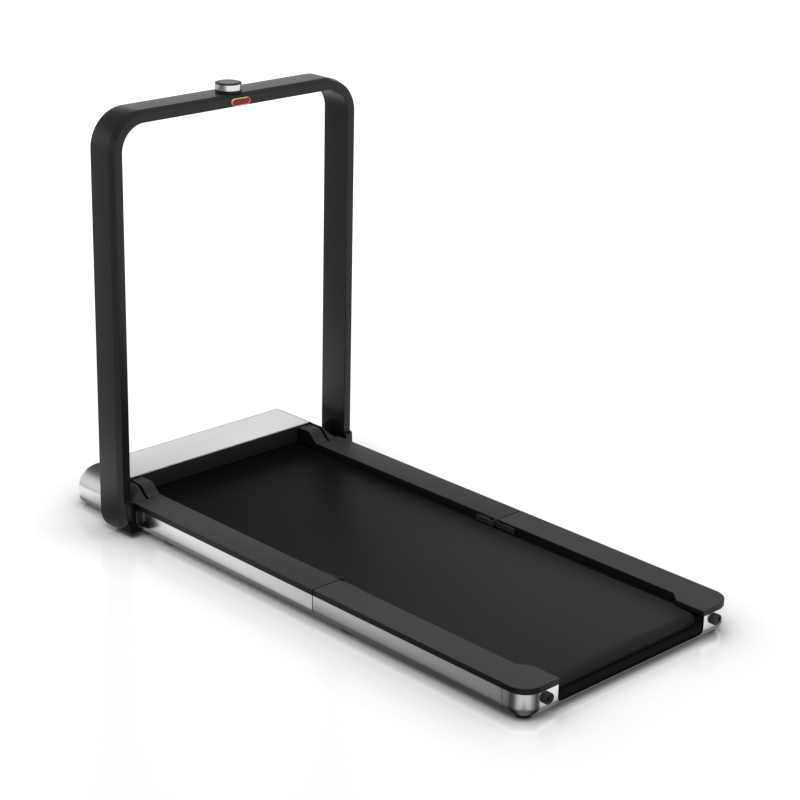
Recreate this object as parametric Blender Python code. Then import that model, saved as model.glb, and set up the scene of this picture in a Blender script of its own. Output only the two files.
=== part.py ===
"""Folding treadmill with a swing-down handrail frame, every separate piece at its real size.

Metres, +Z up, +Y towards the hood, the user's left at -X. Places along the machine are counted
from the fold seam and heights from the floor; the deck empty carries that datum to the middle of
the whole machine. The deck folds at the seam, the handrail frame on two pins beside the hood."""

import math

import bmesh
import bpy
from mathutils import Matrix, Vector

# Whole machine
DECK_WIDTH = 0.657  # over both side rails
REAR_LENGTH = 0.628  # seam to the rear faces of the corner caps
FRONT_LENGTH = 0.871  # seam to the front of the hood
FLOOR_GAP = 0.004  # underside of rails, pans and hood above the floor
SEAT = 0.0003  # left between pieces that touch
SEAM_GAP = 0.0024  # between the two halves of the deck
ROUND = 20  # sides of a turned piece

# Side rails and corner caps
RAIL_TOP = 0.061
RAIL_WALL = 0.003
RAIL_FILLET = 0.025
WEB_INSET = 0.0665  # outer face to the inner web that carries the board
LEDGE_REACH = 0.034  # ledge under the board
CAP_LENGTH = 0.061  # rear face to the joint between cap and rail
CAP_CORNER = 0.050
CAP_FLANGE = 0.040  # foot of the cap turned in under the deck
OPENING_INSET = 0.0975  # outer face to the end of the cap
OPENING_LOW = 0.018
OPENING_CORNER = 0.014

# Top trims
TRIM_TOP = 0.0743
TRIM_WIDTH = 0.079
TRIM_WALL = 0.003
TRIM_LIFT = 0.0003
TRIM_EDGE = 0.0008
WIDE_WIDTH = 0.101  # of the trim's wider rear end
WIDE_LENGTH = 0.075
STEP_LENGTH = 0.026
FACET_WIDTH = 0.0235
FACET_DROP = 0.0008

# Belt, boards and rollers
BELT_TOP = 0.057
BELT_THICK = 0.0015
BELT_CLEAR = 0.0145  # beside the belt
BOARD_THICK = 0.015
ROLLER_RADIUS = 0.0202
ROLLER_WALL = 0.003
ROLLER_OVER = 0.0045  # roller beyond the belt's edge
REAR_ROLLER_IN = 0.043  # axis before the rear face
FRONT_ROLLER_IN = 0.032  # axis under the hood
AXLE_RADIUS = 0.006
BEARING_GAP = 0.0003
BOARD_CLEAR = 0.005  # board end to belt turning round the roller
PAN_THICK = 0.0025

# Hood
HOOD_TOP = 0.105
HOOD_LENGTH = 0.168
SHOULDER = 0.0445
SHOULDER_START = 0.0476
SHOULDER_POWER = 1.377
HOOD_FILLET = 0.020
HOOD_CORNER = 0.025
SHARP_CORNER = 0.003  # least corner of the hood's plate and floor, seen from above
HOOD_WALL = 0.003
HOOD_FLANGE = 0.028
PLATE_THICK = 0.003
PLATE_RIM = 0.0004  # half of the line between the top plate and the shell
BRIDGE_TOP = 0.1035
BRIDGE_LENGTH = 0.0737
SLOPE_LENGTH = 0.0307
GROOVE_INSET = 0.0370
GROOVE_WIDTH = 0.0050
GROOVE_DEPTH = 0.006
BRIDGE_WALL = 0.003

# Handrail frame
EAR_SPACE = 0.010  # between the deck's side and an upright
FRAME_TOP = 1.004
TUBE_THICK = 0.0265
TUBE_DEPTH = 0.0854
TUBE_BEHIND = 0.073  # user's face behind the hood's edge
TUBE_WALL = 0.002
PLUG_TOP = 0.100  # the feet are filled up to here
LEAD_HOLE = 0.005
CHAMFER_IN = 0.0048
CHAMFER_DEEP = 0.0178
BEND_RADIUS = 0.089
FOOT_Z = 0.0125
FOOT_CORNER = 0.028
FLARE_TOP = 0.084
FLARE_END = 0.037
FLARE_REACH = 0.0145
PIVOT_IN = 0.0425  # axis ahead of the user's face
PIVOT_Z = 0.080
SWEEP_RADIUS = 0.0725  # round the pivot, of the frame's lower end
HEEL_GAP = 0.0006
HEEL_REACH = 0.0805  # tip behind the axis
PLATE_LENGTH = 0.103  # hinge plate, back from the hood's edge
EAR_RADIUS = 0.026
EAR_GAP = 0.0005
PIN_RADIUS = 0.006
PIN_HEAD = 0.009
PIN_HEAD_THICK = 0.006
PIN_GAP = 0.0003

# Knob and safety key
KNOB_RADIUS = 0.031
KNOB_BASE = 0.0047
KNOB_RING = 0.0175
RING_WALL = 0.0062
RING_WEB = 0.003
CAP_RISE = 0.0015  # button above the ring
BUTTON_THICK = 0.012
BUTTON_TRAVEL = 0.0012
POST_RADIUS = 0.008
KEY_DROP = 0.016  # middle of the key below the crossbar's top
DOCK_WIDTH = 0.060
DOCK_HEIGHT = 0.0224
DOCK_PROUD = 0.0045
DOCK_RIM = 0.0024
KEY_SUNK = 0.0008  # key's face below the dock's rim
KEY_GAP = 0.0004

# Drive
PULLEY_RADIUS = 0.0205
MOTOR_PULLEY_RADIUS = 0.009
RIB_DEEP = 0.0012
RIBS = 3
PULLEY_WIDTH = 0.016
PULLEY_HUB = 0.006  # between the ribbed face and the roller's end
PULLEY_FLANGE = 0.002
FINS = 3
FIN_PITCH = 0.012
FIN_DEEP = 0.003
DRIVE_BELT_THICK = 0.0025
MOTOR_BEHIND = 0.066  # axis behind the hood's front
MOTOR_Z = 0.050
MOTOR_RADIUS = 0.034
MOTOR_LENGTH = 0.150
SHAFT_RADIUS = 0.004
CASING_WALL = 0.004
CASING_END = 0.008
ROTOR_END = 0.012  # rotor to the casing's ends
ROTOR_GAP = 0.002
CRADLE_HALF = 0.020
CONTROLLER_LEFT = 0.020
CONTROLLER_LONG = 0.170
CONTROLLER_DEEP = 0.064
CONTROLLER_HIGH = 0.030
SINK_HIGH = 0.018
SINK_FINS = 7
PLATE_GAP = 0.009  # pulley to the drive frame's axle plate
DRIVE_PLATE = 0.004
DRIVE_FLOOR = 0.003

# Transport wheels and feet
WHEEL_RADIUS = 0.020
WHEEL_WIDTH = 0.016
WHEEL_CLEAR = 0.001  # above the floor
WHEEL_INSET = 0.0475
WHEEL_BEHIND = 0.069
WHEEL_AXLE = 0.003
BRACKET_WALL = 0.002
FOOT_RADIUS = 0.018
FOOT_INSET = 0.0365
FOOT_MID_BACK = 0.166  # behind the hood's edge
FOOT_SEAM = 0.080  # behind the fold seam
FOOT_REAR_IN = 0.036  # before the rear face

# Mains inlet and switch, in the upright band of the hood's front
POWER_Z = 0.0358
INLET_INSET = 0.1135
INLET_HALF = 0.0135
INLET_HIGH = 0.0095
SWITCH_PITCH = 0.050
SWITCH_HALF = 0.0105
SWITCH_HIGH = 0.0075
ROCKER_TILT = 8.0
SOCKET_WALL = 0.002
SOCKET_FLOOR = 0.018
INLET_DEPTH = 0.022
ROCKER_DEEP = 0.006
ROCKER_GAP = 0.0005
ROCKER_PIVOT = 0.004  # behind the hood's face

# Adjuster plugs
PLUG_INSET = 0.0621
PLUG_Z = 0.0439
PLUG_WIDTH = 0.0274
PLUG_HEIGHT = 0.0234
PLUG_PROUD = 0.0092
PLUG_SOCKET = 0.0035
SOCKET_SHIFT = 0.0075
SOCKET_DEEP = 0.008

# Fold hinges
KNUCKLE = 0.0032
HINGE_PIN = 0.0015
LEAF_THICK = 0.003
LEAF_LENGTH = 0.060
LEAF_Z = 0.058
HINGE_INSET = 0.090
FOLD_RISE = 0.00025  # axis above the trims' top faces

# Worked out from the sizes above
HALF = DECK_WIDTH / 2
HOOD_REAR = FRONT_LENGTH - HOOD_LENGTH
RAIL_FRONT_END = HOOD_REAR - PLATE_LENGTH
TRIM_FRONT_END = HOOD_REAR - BRIDGE_LENGTH
SLOPE_END = TRIM_FRONT_END + SLOPE_LENGTH
TRIM_INNER = HALF - TRIM_WIDTH
WIDE_INNER = HALF - WIDE_WIDTH
FACET_CREASE = WIDE_INNER + FACET_WIDTH
STEP_END = REAR_LENGTH - WIDE_LENGTH
STEP_START = STEP_END - STEP_LENGTH
OPENING_HALF = HALF - OPENING_INSET
BELT_HALF = TRIM_INNER - BELT_CLEAR
ROLLER_HALF = BELT_HALF + ROLLER_OVER
REAR_ROLLER_Y = REAR_LENGTH - REAR_ROLLER_IN
FRONT_ROLLER_Y = HOOD_REAR + FRONT_ROLLER_IN
GROOVE_OUTER = HALF - GROOVE_INSET
GROOVE_INNER = GROOVE_OUTER - GROOVE_WIDTH
TUBE_REAR = HOOD_REAR - TUBE_BEHIND
PIVOT_Y = TUBE_REAR + PIVOT_IN
HEEL_TIP = PIVOT_Y - HEEL_REACH
KEY_Z = FRAME_TOP - KEY_DROP
MOTOR_Y = FRONT_LENGTH - MOTOR_BEHIND
WHEEL_X = HALF - WHEEL_INSET
WHEEL_Y = FRONT_LENGTH - WHEEL_BEHIND
FOOT_X = HALF - FOOT_INSET
FOOT_PLACES = {"mid": HOOD_REAR - FOOT_MID_BACK, "seam": -FOOT_SEAM, "rear": FOOT_REAR_IN - REAR_LENGTH}
INLET_X = HALF - INLET_INSET
SWITCH_X = INLET_X - SWITCH_PITCH
PLUG_X = HALF - PLUG_INSET
HINGE_X = HALF - HINGE_INSET
SEAM_Y = (REAR_LENGTH + PLUG_PROUD - FRONT_LENGTH) / 2
SEAM_FACE = SEAM_GAP / 2
WEB_X = HALF - WEB_INSET
LEDGE_X = WEB_X - LEDGE_REACH
BOARD_TOP = BELT_TOP - BELT_THICK - SEAT
BOARD_BOTTOM = BOARD_TOP - BOARD_THICK
BELT_INNER = ROLLER_RADIUS + SEAT
BELT_OUTER = BELT_INNER + BELT_THICK
ROLLER_Z = BELT_TOP - BELT_OUTER
TRIM_BOTTOM = RAIL_TOP + TRIM_LIFT
FRAME_INNER = HALF + EAR_SPACE
FRAME_HALF = FRAME_INNER + TUBE_THICK
EAR_FACE = FRAME_INNER - EAR_GAP
FRAME_FRONT = TUBE_REAR + TUBE_DEPTH
FOLD_Z = TRIM_TOP + FOLD_RISE
PAN_TOP = FLOOR_GAP + PAN_THICK
FRAME_LOW = FLOOR_GAP + RAIL_WALL + SEAT
FRAME_FLOOR = FRAME_LOW + DRIVE_FLOOR
PAN_HALF = WEB_X - SEAT
HOOD_START = HOOD_REAR + SEAT
WHEEL_Z = WHEEL_RADIUS + WHEEL_CLEAR
CAP_JOINT = REAR_LENGTH - CAP_LENGTH
SIDES = {"left": -1, "right": 1}


def clear_scene():
    for obj in list(bpy.data.objects):
        bpy.data.objects.remove(obj, do_unlink=True)


def material(name, colour, roughness, metallic=0.0):
    """One plain finish; the colour is given as displayed and stored as linear light."""
    made = bpy.data.materials.new(name)
    made.use_nodes = True
    shader = made.node_tree.nodes["Principled BSDF"]
    linear = [(c / 12.92 if c <= 0.04045 else ((c + 0.055) / 1.055) ** 2.4) for c in colour]
    shader.inputs["Base Color"].default_value = (*linear, 1.0)
    shader.inputs["Roughness"].default_value = roughness
    shader.inputs["Metallic"].default_value = metallic
    made.diffuse_color = (*linear, 1.0)
    return made


def finishes():
    return {
        "silver": material("silver_panel", (0.80, 0.80, 0.81), 0.32, 0.9),
        "plate": material("hood_plate", (0.86, 0.87, 0.88), 0.35, 0.6),
        "trim": material("black_trim", (0.28, 0.28, 0.28), 0.55),
        "frame": material("black_coated_metal", (0.20, 0.20, 0.20), 0.45, 0.4),
        "black": material("black_plastic", (0.07, 0.07, 0.07), 0.5),
        "belt": material("belt_rubber", (0.10, 0.10, 0.10), 0.75),
        "board": material("waxed_board", (0.45, 0.36, 0.26), 0.6),
        "steel": material("bright_steel", (0.62, 0.62, 0.63), 0.3, 1.0),
        "grey": material("cast_hinge", (0.45, 0.45, 0.45), 0.45, 0.7),
        "rubber": material("foot_rubber", (0.06, 0.06, 0.06), 0.85),
        "chrome": material("knob_chrome", (0.78, 0.78, 0.79), 0.15, 1.0),
        "knob_face": material("knob_face", (0.38, 0.38, 0.38), 0.4, 0.3),
        "dock": material("dock_rim", (0.85, 0.60, 0.48), 0.4),
        "key": material("key_red", (0.52, 0.18, 0.12), 0.45),
        "motor": material("motor_casing", (0.25, 0.26, 0.28), 0.5, 0.6),
    }


def pivot(name, place, parent=None):
    """An empty on a joint's axis, at a place counted from the seam and the floor."""
    made = bpy.data.objects.new(name, None)
    bpy.context.scene.collection.objects.link(made)
    made.empty_display_size = 0.05
    made["place"] = place
    if parent is None:
        made.location = (place[0], place[1] + SEAM_Y, place[2])
    else:
        made.parent = parent
        made.location = Vector(place) - Vector(parent["place"])
    return made


def added(name, bm, finish, parent, at=(0.0, 0.0, 0.0), turn=(0.0, 0.0, 0.0), smooth=30):
    """Stores a finished bmesh as one object under its pivot."""
    bmesh.ops.recalc_face_normals(bm, faces=bm.faces)
    mesh = bpy.data.meshes.new(name)
    bm.to_mesh(mesh)
    bm.free()
    mesh.shade_smooth()
    mesh.set_sharp_from_angle(angle=math.radians(smooth))
    made = bpy.data.objects.new(name, mesh)
    bpy.context.scene.collection.objects.link(made)
    made.parent = parent
    made.location = Vector(at) - Vector(parent["place"])
    made.rotation_euler = turn
    if finish is not None:
        mesh.materials.append(finish)
    return made


def arc(centre, radius, start, end, steps=8):
    """Points of a circle from one angle to another, in degrees."""
    turns = [math.radians(start + (end - start) * i / steps) for i in range(steps + 1)]
    return [(centre[0] + radius * math.cos(t), centre[1] + radius * math.sin(t)) for t in turns]


def beside(path, distance, closed=False):
    """The path moved to its own right by a distance, its corners mitred."""
    moved = []
    count = len(path)
    for i, here in enumerate(path):
        before = path[i - 1] if i or closed else None
        after = path[(i + 1) % count] if i + 1 < count or closed else None
        normals = []
        for a, b in ((before, here), (here, after)):
            if a is not None and b is not None:
                run = Vector((b[0] - a[0], b[1] - a[1])).normalized()
                normals.append(Vector((run.y, -run.x)))
        total = sum(normals, Vector((0.0, 0.0)))
        mitre = total * (1.0 if len(normals) == 1 else 1.0 / (1.0 + normals[0].dot(normals[1])))
        moved.append((here[0] + mitre.x * distance, here[1] + mitre.y * distance))
    return moved


def walled(path, thickness):
    """Closed outline of a wall that follows a path on its right-hand side."""
    return list(path) + beside(path, thickness)[::-1]


def joined_rings(bm, rings, closed_round=True):
    """Faces between neighbouring rings of vertices."""
    for low, high in zip(rings, rings[1:]):
        count = len(low)
        for i in range(count if closed_round else count - 1):
            j = (i + 1) % count
            bm.faces.new((low[i], low[j], high[j], high[i]))


def prism(name, outline, start, end, axis, finish, parent):
    """An outline pushed along an axis: read as (y, z) along X, (x, z) along Y, (x, y) along Z."""
    bm = bmesh.new()
    rings = []
    for along in (start, end):
        spots = {
            "X": [(along, a, b) for a, b in outline],
            "Y": [(a, along, b) for a, b in outline],
            "Z": [(a, b, along) for a, b in outline],
        }[axis]
        rings.append([bm.verts.new(spot) for spot in spots])
    joined_rings(bm, rings)
    bm.faces.new(rings[0])
    bm.faces.new(rings[1])
    return added(name, bm, finish, parent)


def block(name, x, y, z, finish, parent):
    """A rectangular block between pairs of coordinates."""
    outline = [(x[0], y[0]), (x[1], y[0]), (x[1], y[1]), (x[0], y[1])]
    return prism(name, outline, z[0], z[1], "Z", finish, parent)


def loft(name, sections, finish, parent):
    """Closed sections of equal count joined in order, the two ends covered."""
    bm = bmesh.new()
    rings = [[bm.verts.new(spot) for spot in section] for section in sections]
    joined_rings(bm, rings)
    bm.faces.new(rings[0])
    bm.faces.new(rings[-1])
    return added(name, bm, finish, parent)


def shell(name, outer, inner, finish, parent):
    """A wall between two skins, each a list of rows of points, closed round all four rims."""
    bm = bmesh.new()
    skins = [[[bm.verts.new(p) for p in row] for row in skin] for skin in (outer, inner)]
    for skin in skins:
        joined_rings(bm, skin, closed_round=False)
    rims = []
    for skin in skins:
        right = [row[-1] for row in skin[1:-1]]
        left = [row[0] for row in skin[1:-1]]
        rims.append(skin[0] + right + skin[-1][::-1] + left[::-1])
    joined_rings(bm, rims)
    return added(name, bm, finish, parent)


def turned(name, profile, finish, parent, at, axis="Z", steps=ROUND):
    """A profile of (radius, height) pairs turned round an axis through a place."""
    bm = bmesh.new()
    ring = [bm.verts.new((radius, 0.0, height)) for radius, height in profile]
    pairs = zip(ring, ring[1:] + ring[:1])
    edges = [bm.edges.new(pair) for pair in pairs if pair[0].co.x or pair[1].co.x]
    bmesh.ops.spin(bm, geom=ring + edges, cent=(0, 0, 0), axis=(0, 0, 1), angle=math.tau,
                   steps=steps, use_merge=True)
    bmesh.ops.remove_doubles(bm, verts=bm.verts, dist=1e-6)
    turn = {"X": (0.0, math.pi / 2, 0.0), "Y": (-math.pi / 2, 0.0, 0.0), "Z": (0.0, 0.0, 0.0)}[axis]
    return added(name, bm, finish, parent, at, turn)


def rod(radius, start, end):
    """Profile of a plain round bar."""
    return [(0.0, start), (radius, start), (radius, end), (0.0, end)]


def cut(body, *tools, operation="DIFFERENCE"):
    """Takes each tool out of a body, or joins it on."""
    for tool in tools:
        tool.hide_render = True
        tool.display_type = "WIRE"
        change = body.modifiers.new(tool.name, "BOOLEAN")
        change.object = tool
        change.operation = operation
        change.solver = "EXACT"
    return body


def softened(body, width, segments=2, angle=40):
    """Rounds the sharp edges of a body."""
    bevel = body.modifiers.new("soft_edges", "BEVEL")
    bevel.width = width
    bevel.segments = segments
    bevel.limit_method = "ANGLE"
    bevel.angle_limit = math.radians(angle)
    return body


def stadium(width, height, steps=10, centre=(0.0, 0.0)):
    """Outline with two straight sides and two round ends."""
    radius = height / 2
    reach = width / 2 - radius
    right = arc((centre[0] + reach, centre[1]), radius, -90, 90, steps)
    left = arc((centre[0] - reach, centre[1]), radius, 90, 270, steps)
    return right + left


def rail_section(side):
    """Open extrusion: top flange, outer wall, rounded foot, web and the ledge under the board."""
    foot = arc((HALF - RAIL_FILLET, FLOOR_GAP + RAIL_FILLET), RAIL_FILLET, 0, -90)
    ledge_z = BOARD_BOTTOM - SEAT - RAIL_WALL
    path = [(WEB_X, RAIL_TOP), (HALF, RAIL_TOP)] + foot
    path += [(WEB_X, FLOOR_GAP), (WEB_X, ledge_z), (LEDGE_X, ledge_z)]
    return [(side * x, z) for x, z in walled(path, RAIL_WALL)]


def rails(finish, deck, fold):
    for name, side in SIDES.items():
        section = rail_section(side)
        prism("rail_front_" + name, section, SEAM_FACE, RAIL_FRONT_END, "Y", finish["silver"], deck)
        rear = prism("rail_rear_" + name, section, -SEAM_FACE, -CAP_JOINT, "Y", finish["silver"], fold)
        across = sorted((side * (LEDGE_X - 0.002), side * WEB_X))
        board_end = -REAR_ROLLER_Y + BELT_OUTER + BOARD_CLEAR
        cut(rear, block("cut_ledge_" + name, across, (-CAP_JOINT - 0.01, board_end),
                        (BOARD_BOTTOM - 2 * RAIL_WALL, BOARD_TOP), None, fold))


def cap_wall_section(wall):
    """Section of a corner cap as (inset from the outer face, height): wall, fillet and foot."""
    turn = arc((RAIL_FILLET, FLOOR_GAP + RAIL_FILLET), RAIL_FILLET, 180, 270)
    path = [(0.0, RAIL_TOP)] + turn + [(CAP_FLANGE, FLOOR_GAP)]
    return path + beside(path, -wall)[::-1]


def corner_caps(finish, fold):
    """Brushed end caps swept round the rear corners, each holed for its adjuster plug."""
    start = CAP_JOINT + 0.0005
    for name, side in SIDES.items():
        centre = (HALF - CAP_CORNER, -REAR_LENGTH + CAP_CORNER)
        route = [((HALF, -start), (1.0, 0.0))]
        for turn in range(0, 91, 10):
            out = (math.cos(math.radians(turn)), -math.sin(math.radians(turn)))
            route.append(((centre[0] + CAP_CORNER * out[0], centre[1] + CAP_CORNER * out[1]), out))
        route.append(((OPENING_HALF, -REAR_LENGTH), (0.0, -1.0)))
        sections = []
        for spot, out in route:
            sections.append([(side * (spot[0] - out[0] * inset), spot[1] - out[1] * inset, z)
                             for inset, z in cap_wall_section(RAIL_WALL)])
        cap = loft("corner_cap_" + name, sections, finish["silver"], fold)
        hole = stadium(PLUG_WIDTH + 2 * SEAT, PLUG_HEIGHT + 2 * SEAT, 10, (side * PLUG_X, PLUG_Z))
        cut(cap, prism("cut_plug_" + name, hole, -REAR_LENGTH - 0.01, -REAR_LENGTH + 0.01, "Y",
                       None, fold))


def adjuster_plugs(finish, fold):
    """Oval rubber plugs through the caps, with the socket of the belt adjuster."""
    for name, side in SIDES.items():
        outline = stadium(PLUG_WIDTH, PLUG_HEIGHT, 10, (side * PLUG_X, PLUG_Z))
        outer = -REAR_LENGTH - PLUG_PROUD
        plug = prism("adjuster_plug_" + name, outline, outer, -REAR_LENGTH + RAIL_WALL, "Y",
                     finish["rubber"], fold)
        softened(plug, 0.0012, 2, 60)
        spot = (side * (PLUG_X + SOCKET_SHIFT), outer, PLUG_Z)
        cut(plug, turned("cut_socket_" + name, rod(PLUG_SOCKET, -SOCKET_DEEP, SOCKET_DEEP), None, fold, spot,
                         "Y", 12))


def trim_cover(name, outline, lip, finish, parent, facet=None):
    """Moulded cover over a rail: hollow from below, with a lip that hides the board's edge."""
    cover = prism(name, outline, TRIM_BOTTOM, TRIM_TOP, "Z", finish, parent)
    softened(cover, TRIM_EDGE)
    hollow = beside(outline, TRIM_WALL, closed=True)
    tools = [prism("cut_inside_" + name, hollow, TRIM_BOTTOM - 0.01, TRIM_TOP - TRIM_WALL, "Z",
                   None, parent)]
    if facet is not None:
        tools.insert(0, facet)
    cut(cover, *tools)
    return cut(cover, lip, operation="UNION")


def trims(finish, deck, fold):
    for name, side in SIDES.items():
        def lip(label, start, end, parent, side=side, name=name):
            across = sorted((side * (TRIM_INNER + 0.0004), side * (TRIM_INNER + TRIM_WALL - 0.0004)))
            return block("cut_lip_" + label + name, across, (start, end),
                         (BOARD_TOP + SEAT, TRIM_BOTTOM + 0.003), None, parent)

        front = [(side * TRIM_INNER, SEAM_FACE), (side * HALF, SEAM_FACE),
                 (side * HALF, TRIM_FRONT_END), (side * TRIM_INNER, TRIM_FRONT_END)]
        front_lip = lip("front_", SEAM_FACE + 0.006, TRIM_FRONT_END - 0.004, deck)
        trim_cover("trim_front_" + name, front[::-side], front_lip, finish["trim"], deck)

        corner = arc((HALF - CAP_CORNER, -REAR_LENGTH + CAP_CORNER), CAP_CORNER, 0, -90)
        rear = [(TRIM_INNER, -SEAM_FACE), (HALF, -SEAM_FACE)] + corner
        rear += [(WIDE_INNER, -REAR_LENGTH), (WIDE_INNER, -STEP_END), (TRIM_INNER, -STEP_START)]
        rear = [(side * x, y) for x, y in rear]
        slope = FACET_DROP / (FACET_CREASE - WIDE_INNER)
        low = FACET_CREASE - 0.03
        wedge = [(side * FACET_CREASE, TRIM_TOP), (side * low, TRIM_TOP - slope * 0.03),
                 (side * low, TRIM_TOP + 0.02), (side * FACET_CREASE, TRIM_TOP + 0.02)]
        facet = prism("cut_facet_" + name, wedge, -REAR_LENGTH - 0.01, -STEP_END + 0.0005, "Y",
                      None, fold)
        rear_lip = lip("rear_", -STEP_START + 0.004, -SEAM_FACE - 0.006, fold)
        trim_cover("trim_rear_" + name, rear[::side], rear_lip, finish["trim"], fold, facet)


def shoulder_drop(inset):
    """Height of the hood's curved shoulder at an inset from its outer face."""
    share = min(max(1.0 - inset / SHOULDER, 0.0), 1.0)
    turn = math.acos(share ** (1.0 / SHOULDER_POWER))
    return SHOULDER_START + (HOOD_TOP - SHOULDER_START) * math.sin(turn) ** SHOULDER_POWER


def bridge_height(x, y):
    """Top of a bridge cover: level with the trim at its rear, with the hood's section in front."""
    run = min(max((y - TRIM_FRONT_END) / (SLOPE_END - TRIM_FRONT_END), 0.0), 1.0)
    rise = run * run * (3.0 - 2.0 * run)
    edge = max(min(shoulder_drop(HALF - x), BRIDGE_TOP), TRIM_BOTTOM + 0.0007)
    return TRIM_TOP + rise * (edge - TRIM_TOP)


def humped(name, across, along, low, drop, finish, parent, side):
    """A block whose top follows the bridge cover, lowered by a drop; low is a height or a drop."""
    steps = 6
    xs = [across[0] + (across[1] - across[0]) * i / steps for i in range(steps + 1)]
    ys = [along[0] + (SLOPE_END - along[0]) * i / steps for i in range(steps + 1)] + [along[1]]
    top = [[(side * x, y, bridge_height(x, y) - drop) for x in xs] for y in ys]
    if low < 0:
        bottom = [[(side * x, y, bridge_height(x, y) + low) for x in xs] for y in ys]
    else:
        bottom = [[(side * x, y, low) for x in xs] for y in ys]
    return shell(name, top, bottom, finish, parent)


def bridge_covers(finish, deck):
    """Covers from the trims up to the hood, grooved along the line of the hood's shoulder."""
    start = TRIM_FRONT_END + 0.0008
    rib = 0.003
    for name, side in SIDES.items():
        cover = humped("bridge_cover_" + name, (TRIM_INNER, HALF), (start, HOOD_REAR),
                       TRIM_BOTTOM, 0.0, finish["trim"], deck, side)
        spans = ((TRIM_INNER + BRIDGE_WALL, GROOVE_INNER - rib), (GROOVE_OUTER + rib, HALF - BRIDGE_WALL))
        for i, span in enumerate(spans):
            cut(cover, humped("cut_bridge_%s_%d" % (name, i), span,
                              (start + BRIDGE_WALL, HOOD_REAR - BRIDGE_WALL),
                              TRIM_BOTTOM - 0.01, BRIDGE_WALL, None, deck, side))
        cut(cover, humped("cut_groove_" + name, (GROOVE_INNER, GROOVE_OUTER),
                          (start - 0.01, HOOD_REAR + 0.01), -GROOVE_DEPTH, -0.02, None, deck, side))


def hood_row(inset, z):
    """One level of the hood from rear left round the front to rear right."""
    radius = max(HOOD_CORNER - inset, SHARP_CORNER)
    across = HALF - inset - radius
    ahead = FRONT_LENGTH - inset - radius
    right = arc((across, ahead), radius, 0, 90, 6)
    left = arc((-across, ahead), radius, 90, 180, 6)
    rear = [(HALF - inset, HOOD_START), (HALF - inset, (HOOD_START + ahead) / 2)]
    points = rear + right + left + [(-x, y) for x, y in rear[::-1]]
    return [(x, y, z) for x, y in points]


def hood_levels(wall):
    """(inset, height) down the hood's wall, from the plate's seat to the flange underneath."""
    levels = []
    steps = 10
    for i in range(steps + 1):
        turn = math.radians(90 - 90 * i / steps)
        inset = SHOULDER * (1.0 - math.cos(turn) ** SHOULDER_POWER)
        rise = (HOOD_TOP - SHOULDER_START) * math.sin(turn) ** SHOULDER_POWER
        levels.append((inset - PLATE_RIM * (i == 0), SHOULDER_START + rise))
    foot = arc((HOOD_FILLET, FLOOR_GAP + HOOD_FILLET), HOOD_FILLET, 180, 270, 5)
    levels += foot + [(HOOD_FLANGE, FLOOR_GAP)]
    if not wall:
        return levels
    seat = (levels[0][0], levels[0][1] - wall)
    return [seat] + beside(levels, -wall)[1:]


def hood(finish, deck):
    """Curved shell of the hood, its flat top plate and the black wall behind the belt's mouth."""
    outer = [hood_row(inset, z) for inset, z in hood_levels(0.0)]
    inner = [hood_row(inset, z) for inset, z in hood_levels(HOOD_WALL)]
    cover = shell("hood_shell", outer, inner, finish["silver"], deck)
    for label, x, half_wide, half_high in (("inlet", INLET_X, INLET_HALF, INLET_HIGH),
                                           ("switch", SWITCH_X, SWITCH_HALF, SWITCH_HIGH)):
        z = POWER_Z
        cut(cover, block("cut_" + label, (x - half_wide - SEAT, x + half_wide + SEAT),
                         (FRONT_LENGTH - 0.02, FRONT_LENGTH + 0.01),
                         (z - half_high - SEAT, z + half_high + SEAT), None, deck))

    half = HALF - SHOULDER - PLATE_RIM
    front = FRONT_LENGTH - SHOULDER - PLATE_RIM
    round_right = arc((half - SHARP_CORNER, front - SHARP_CORNER), SHARP_CORNER, 0, 90, 3)
    round_left = arc((-half + SHARP_CORNER, front - SHARP_CORNER), SHARP_CORNER, 90, 180, 3)
    outline = [(half, HOOD_START)] + round_right + round_left + [(-half, HOOD_START)]
    plate = prism("hood_top_plate", outline, HOOD_TOP - PLATE_THICK, HOOD_TOP, "Z", finish["plate"], deck)
    softened(plate, 0.0004, 1)

    wall = [(HOOD_REAR + 0.0015, HOOD_TOP - PLATE_THICK - SEAT),
            (HOOD_REAR + 0.0035, HOOD_TOP - PLATE_THICK - SEAT),
            (HOOD_REAR + 0.0035, BELT_TOP + 0.0055), (HOOD_REAR + 0.0090, BELT_TOP + 0.0030),
            (HOOD_REAR + 0.0090, BELT_TOP + 0.0015), (HOOD_REAR + 0.0015, BELT_TOP + 0.0015)]
    prism("hood_rear_wall", wall, -TRIM_INNER + SEAT, TRIM_INNER - SEAT, "X", finish["black"], deck)


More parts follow.
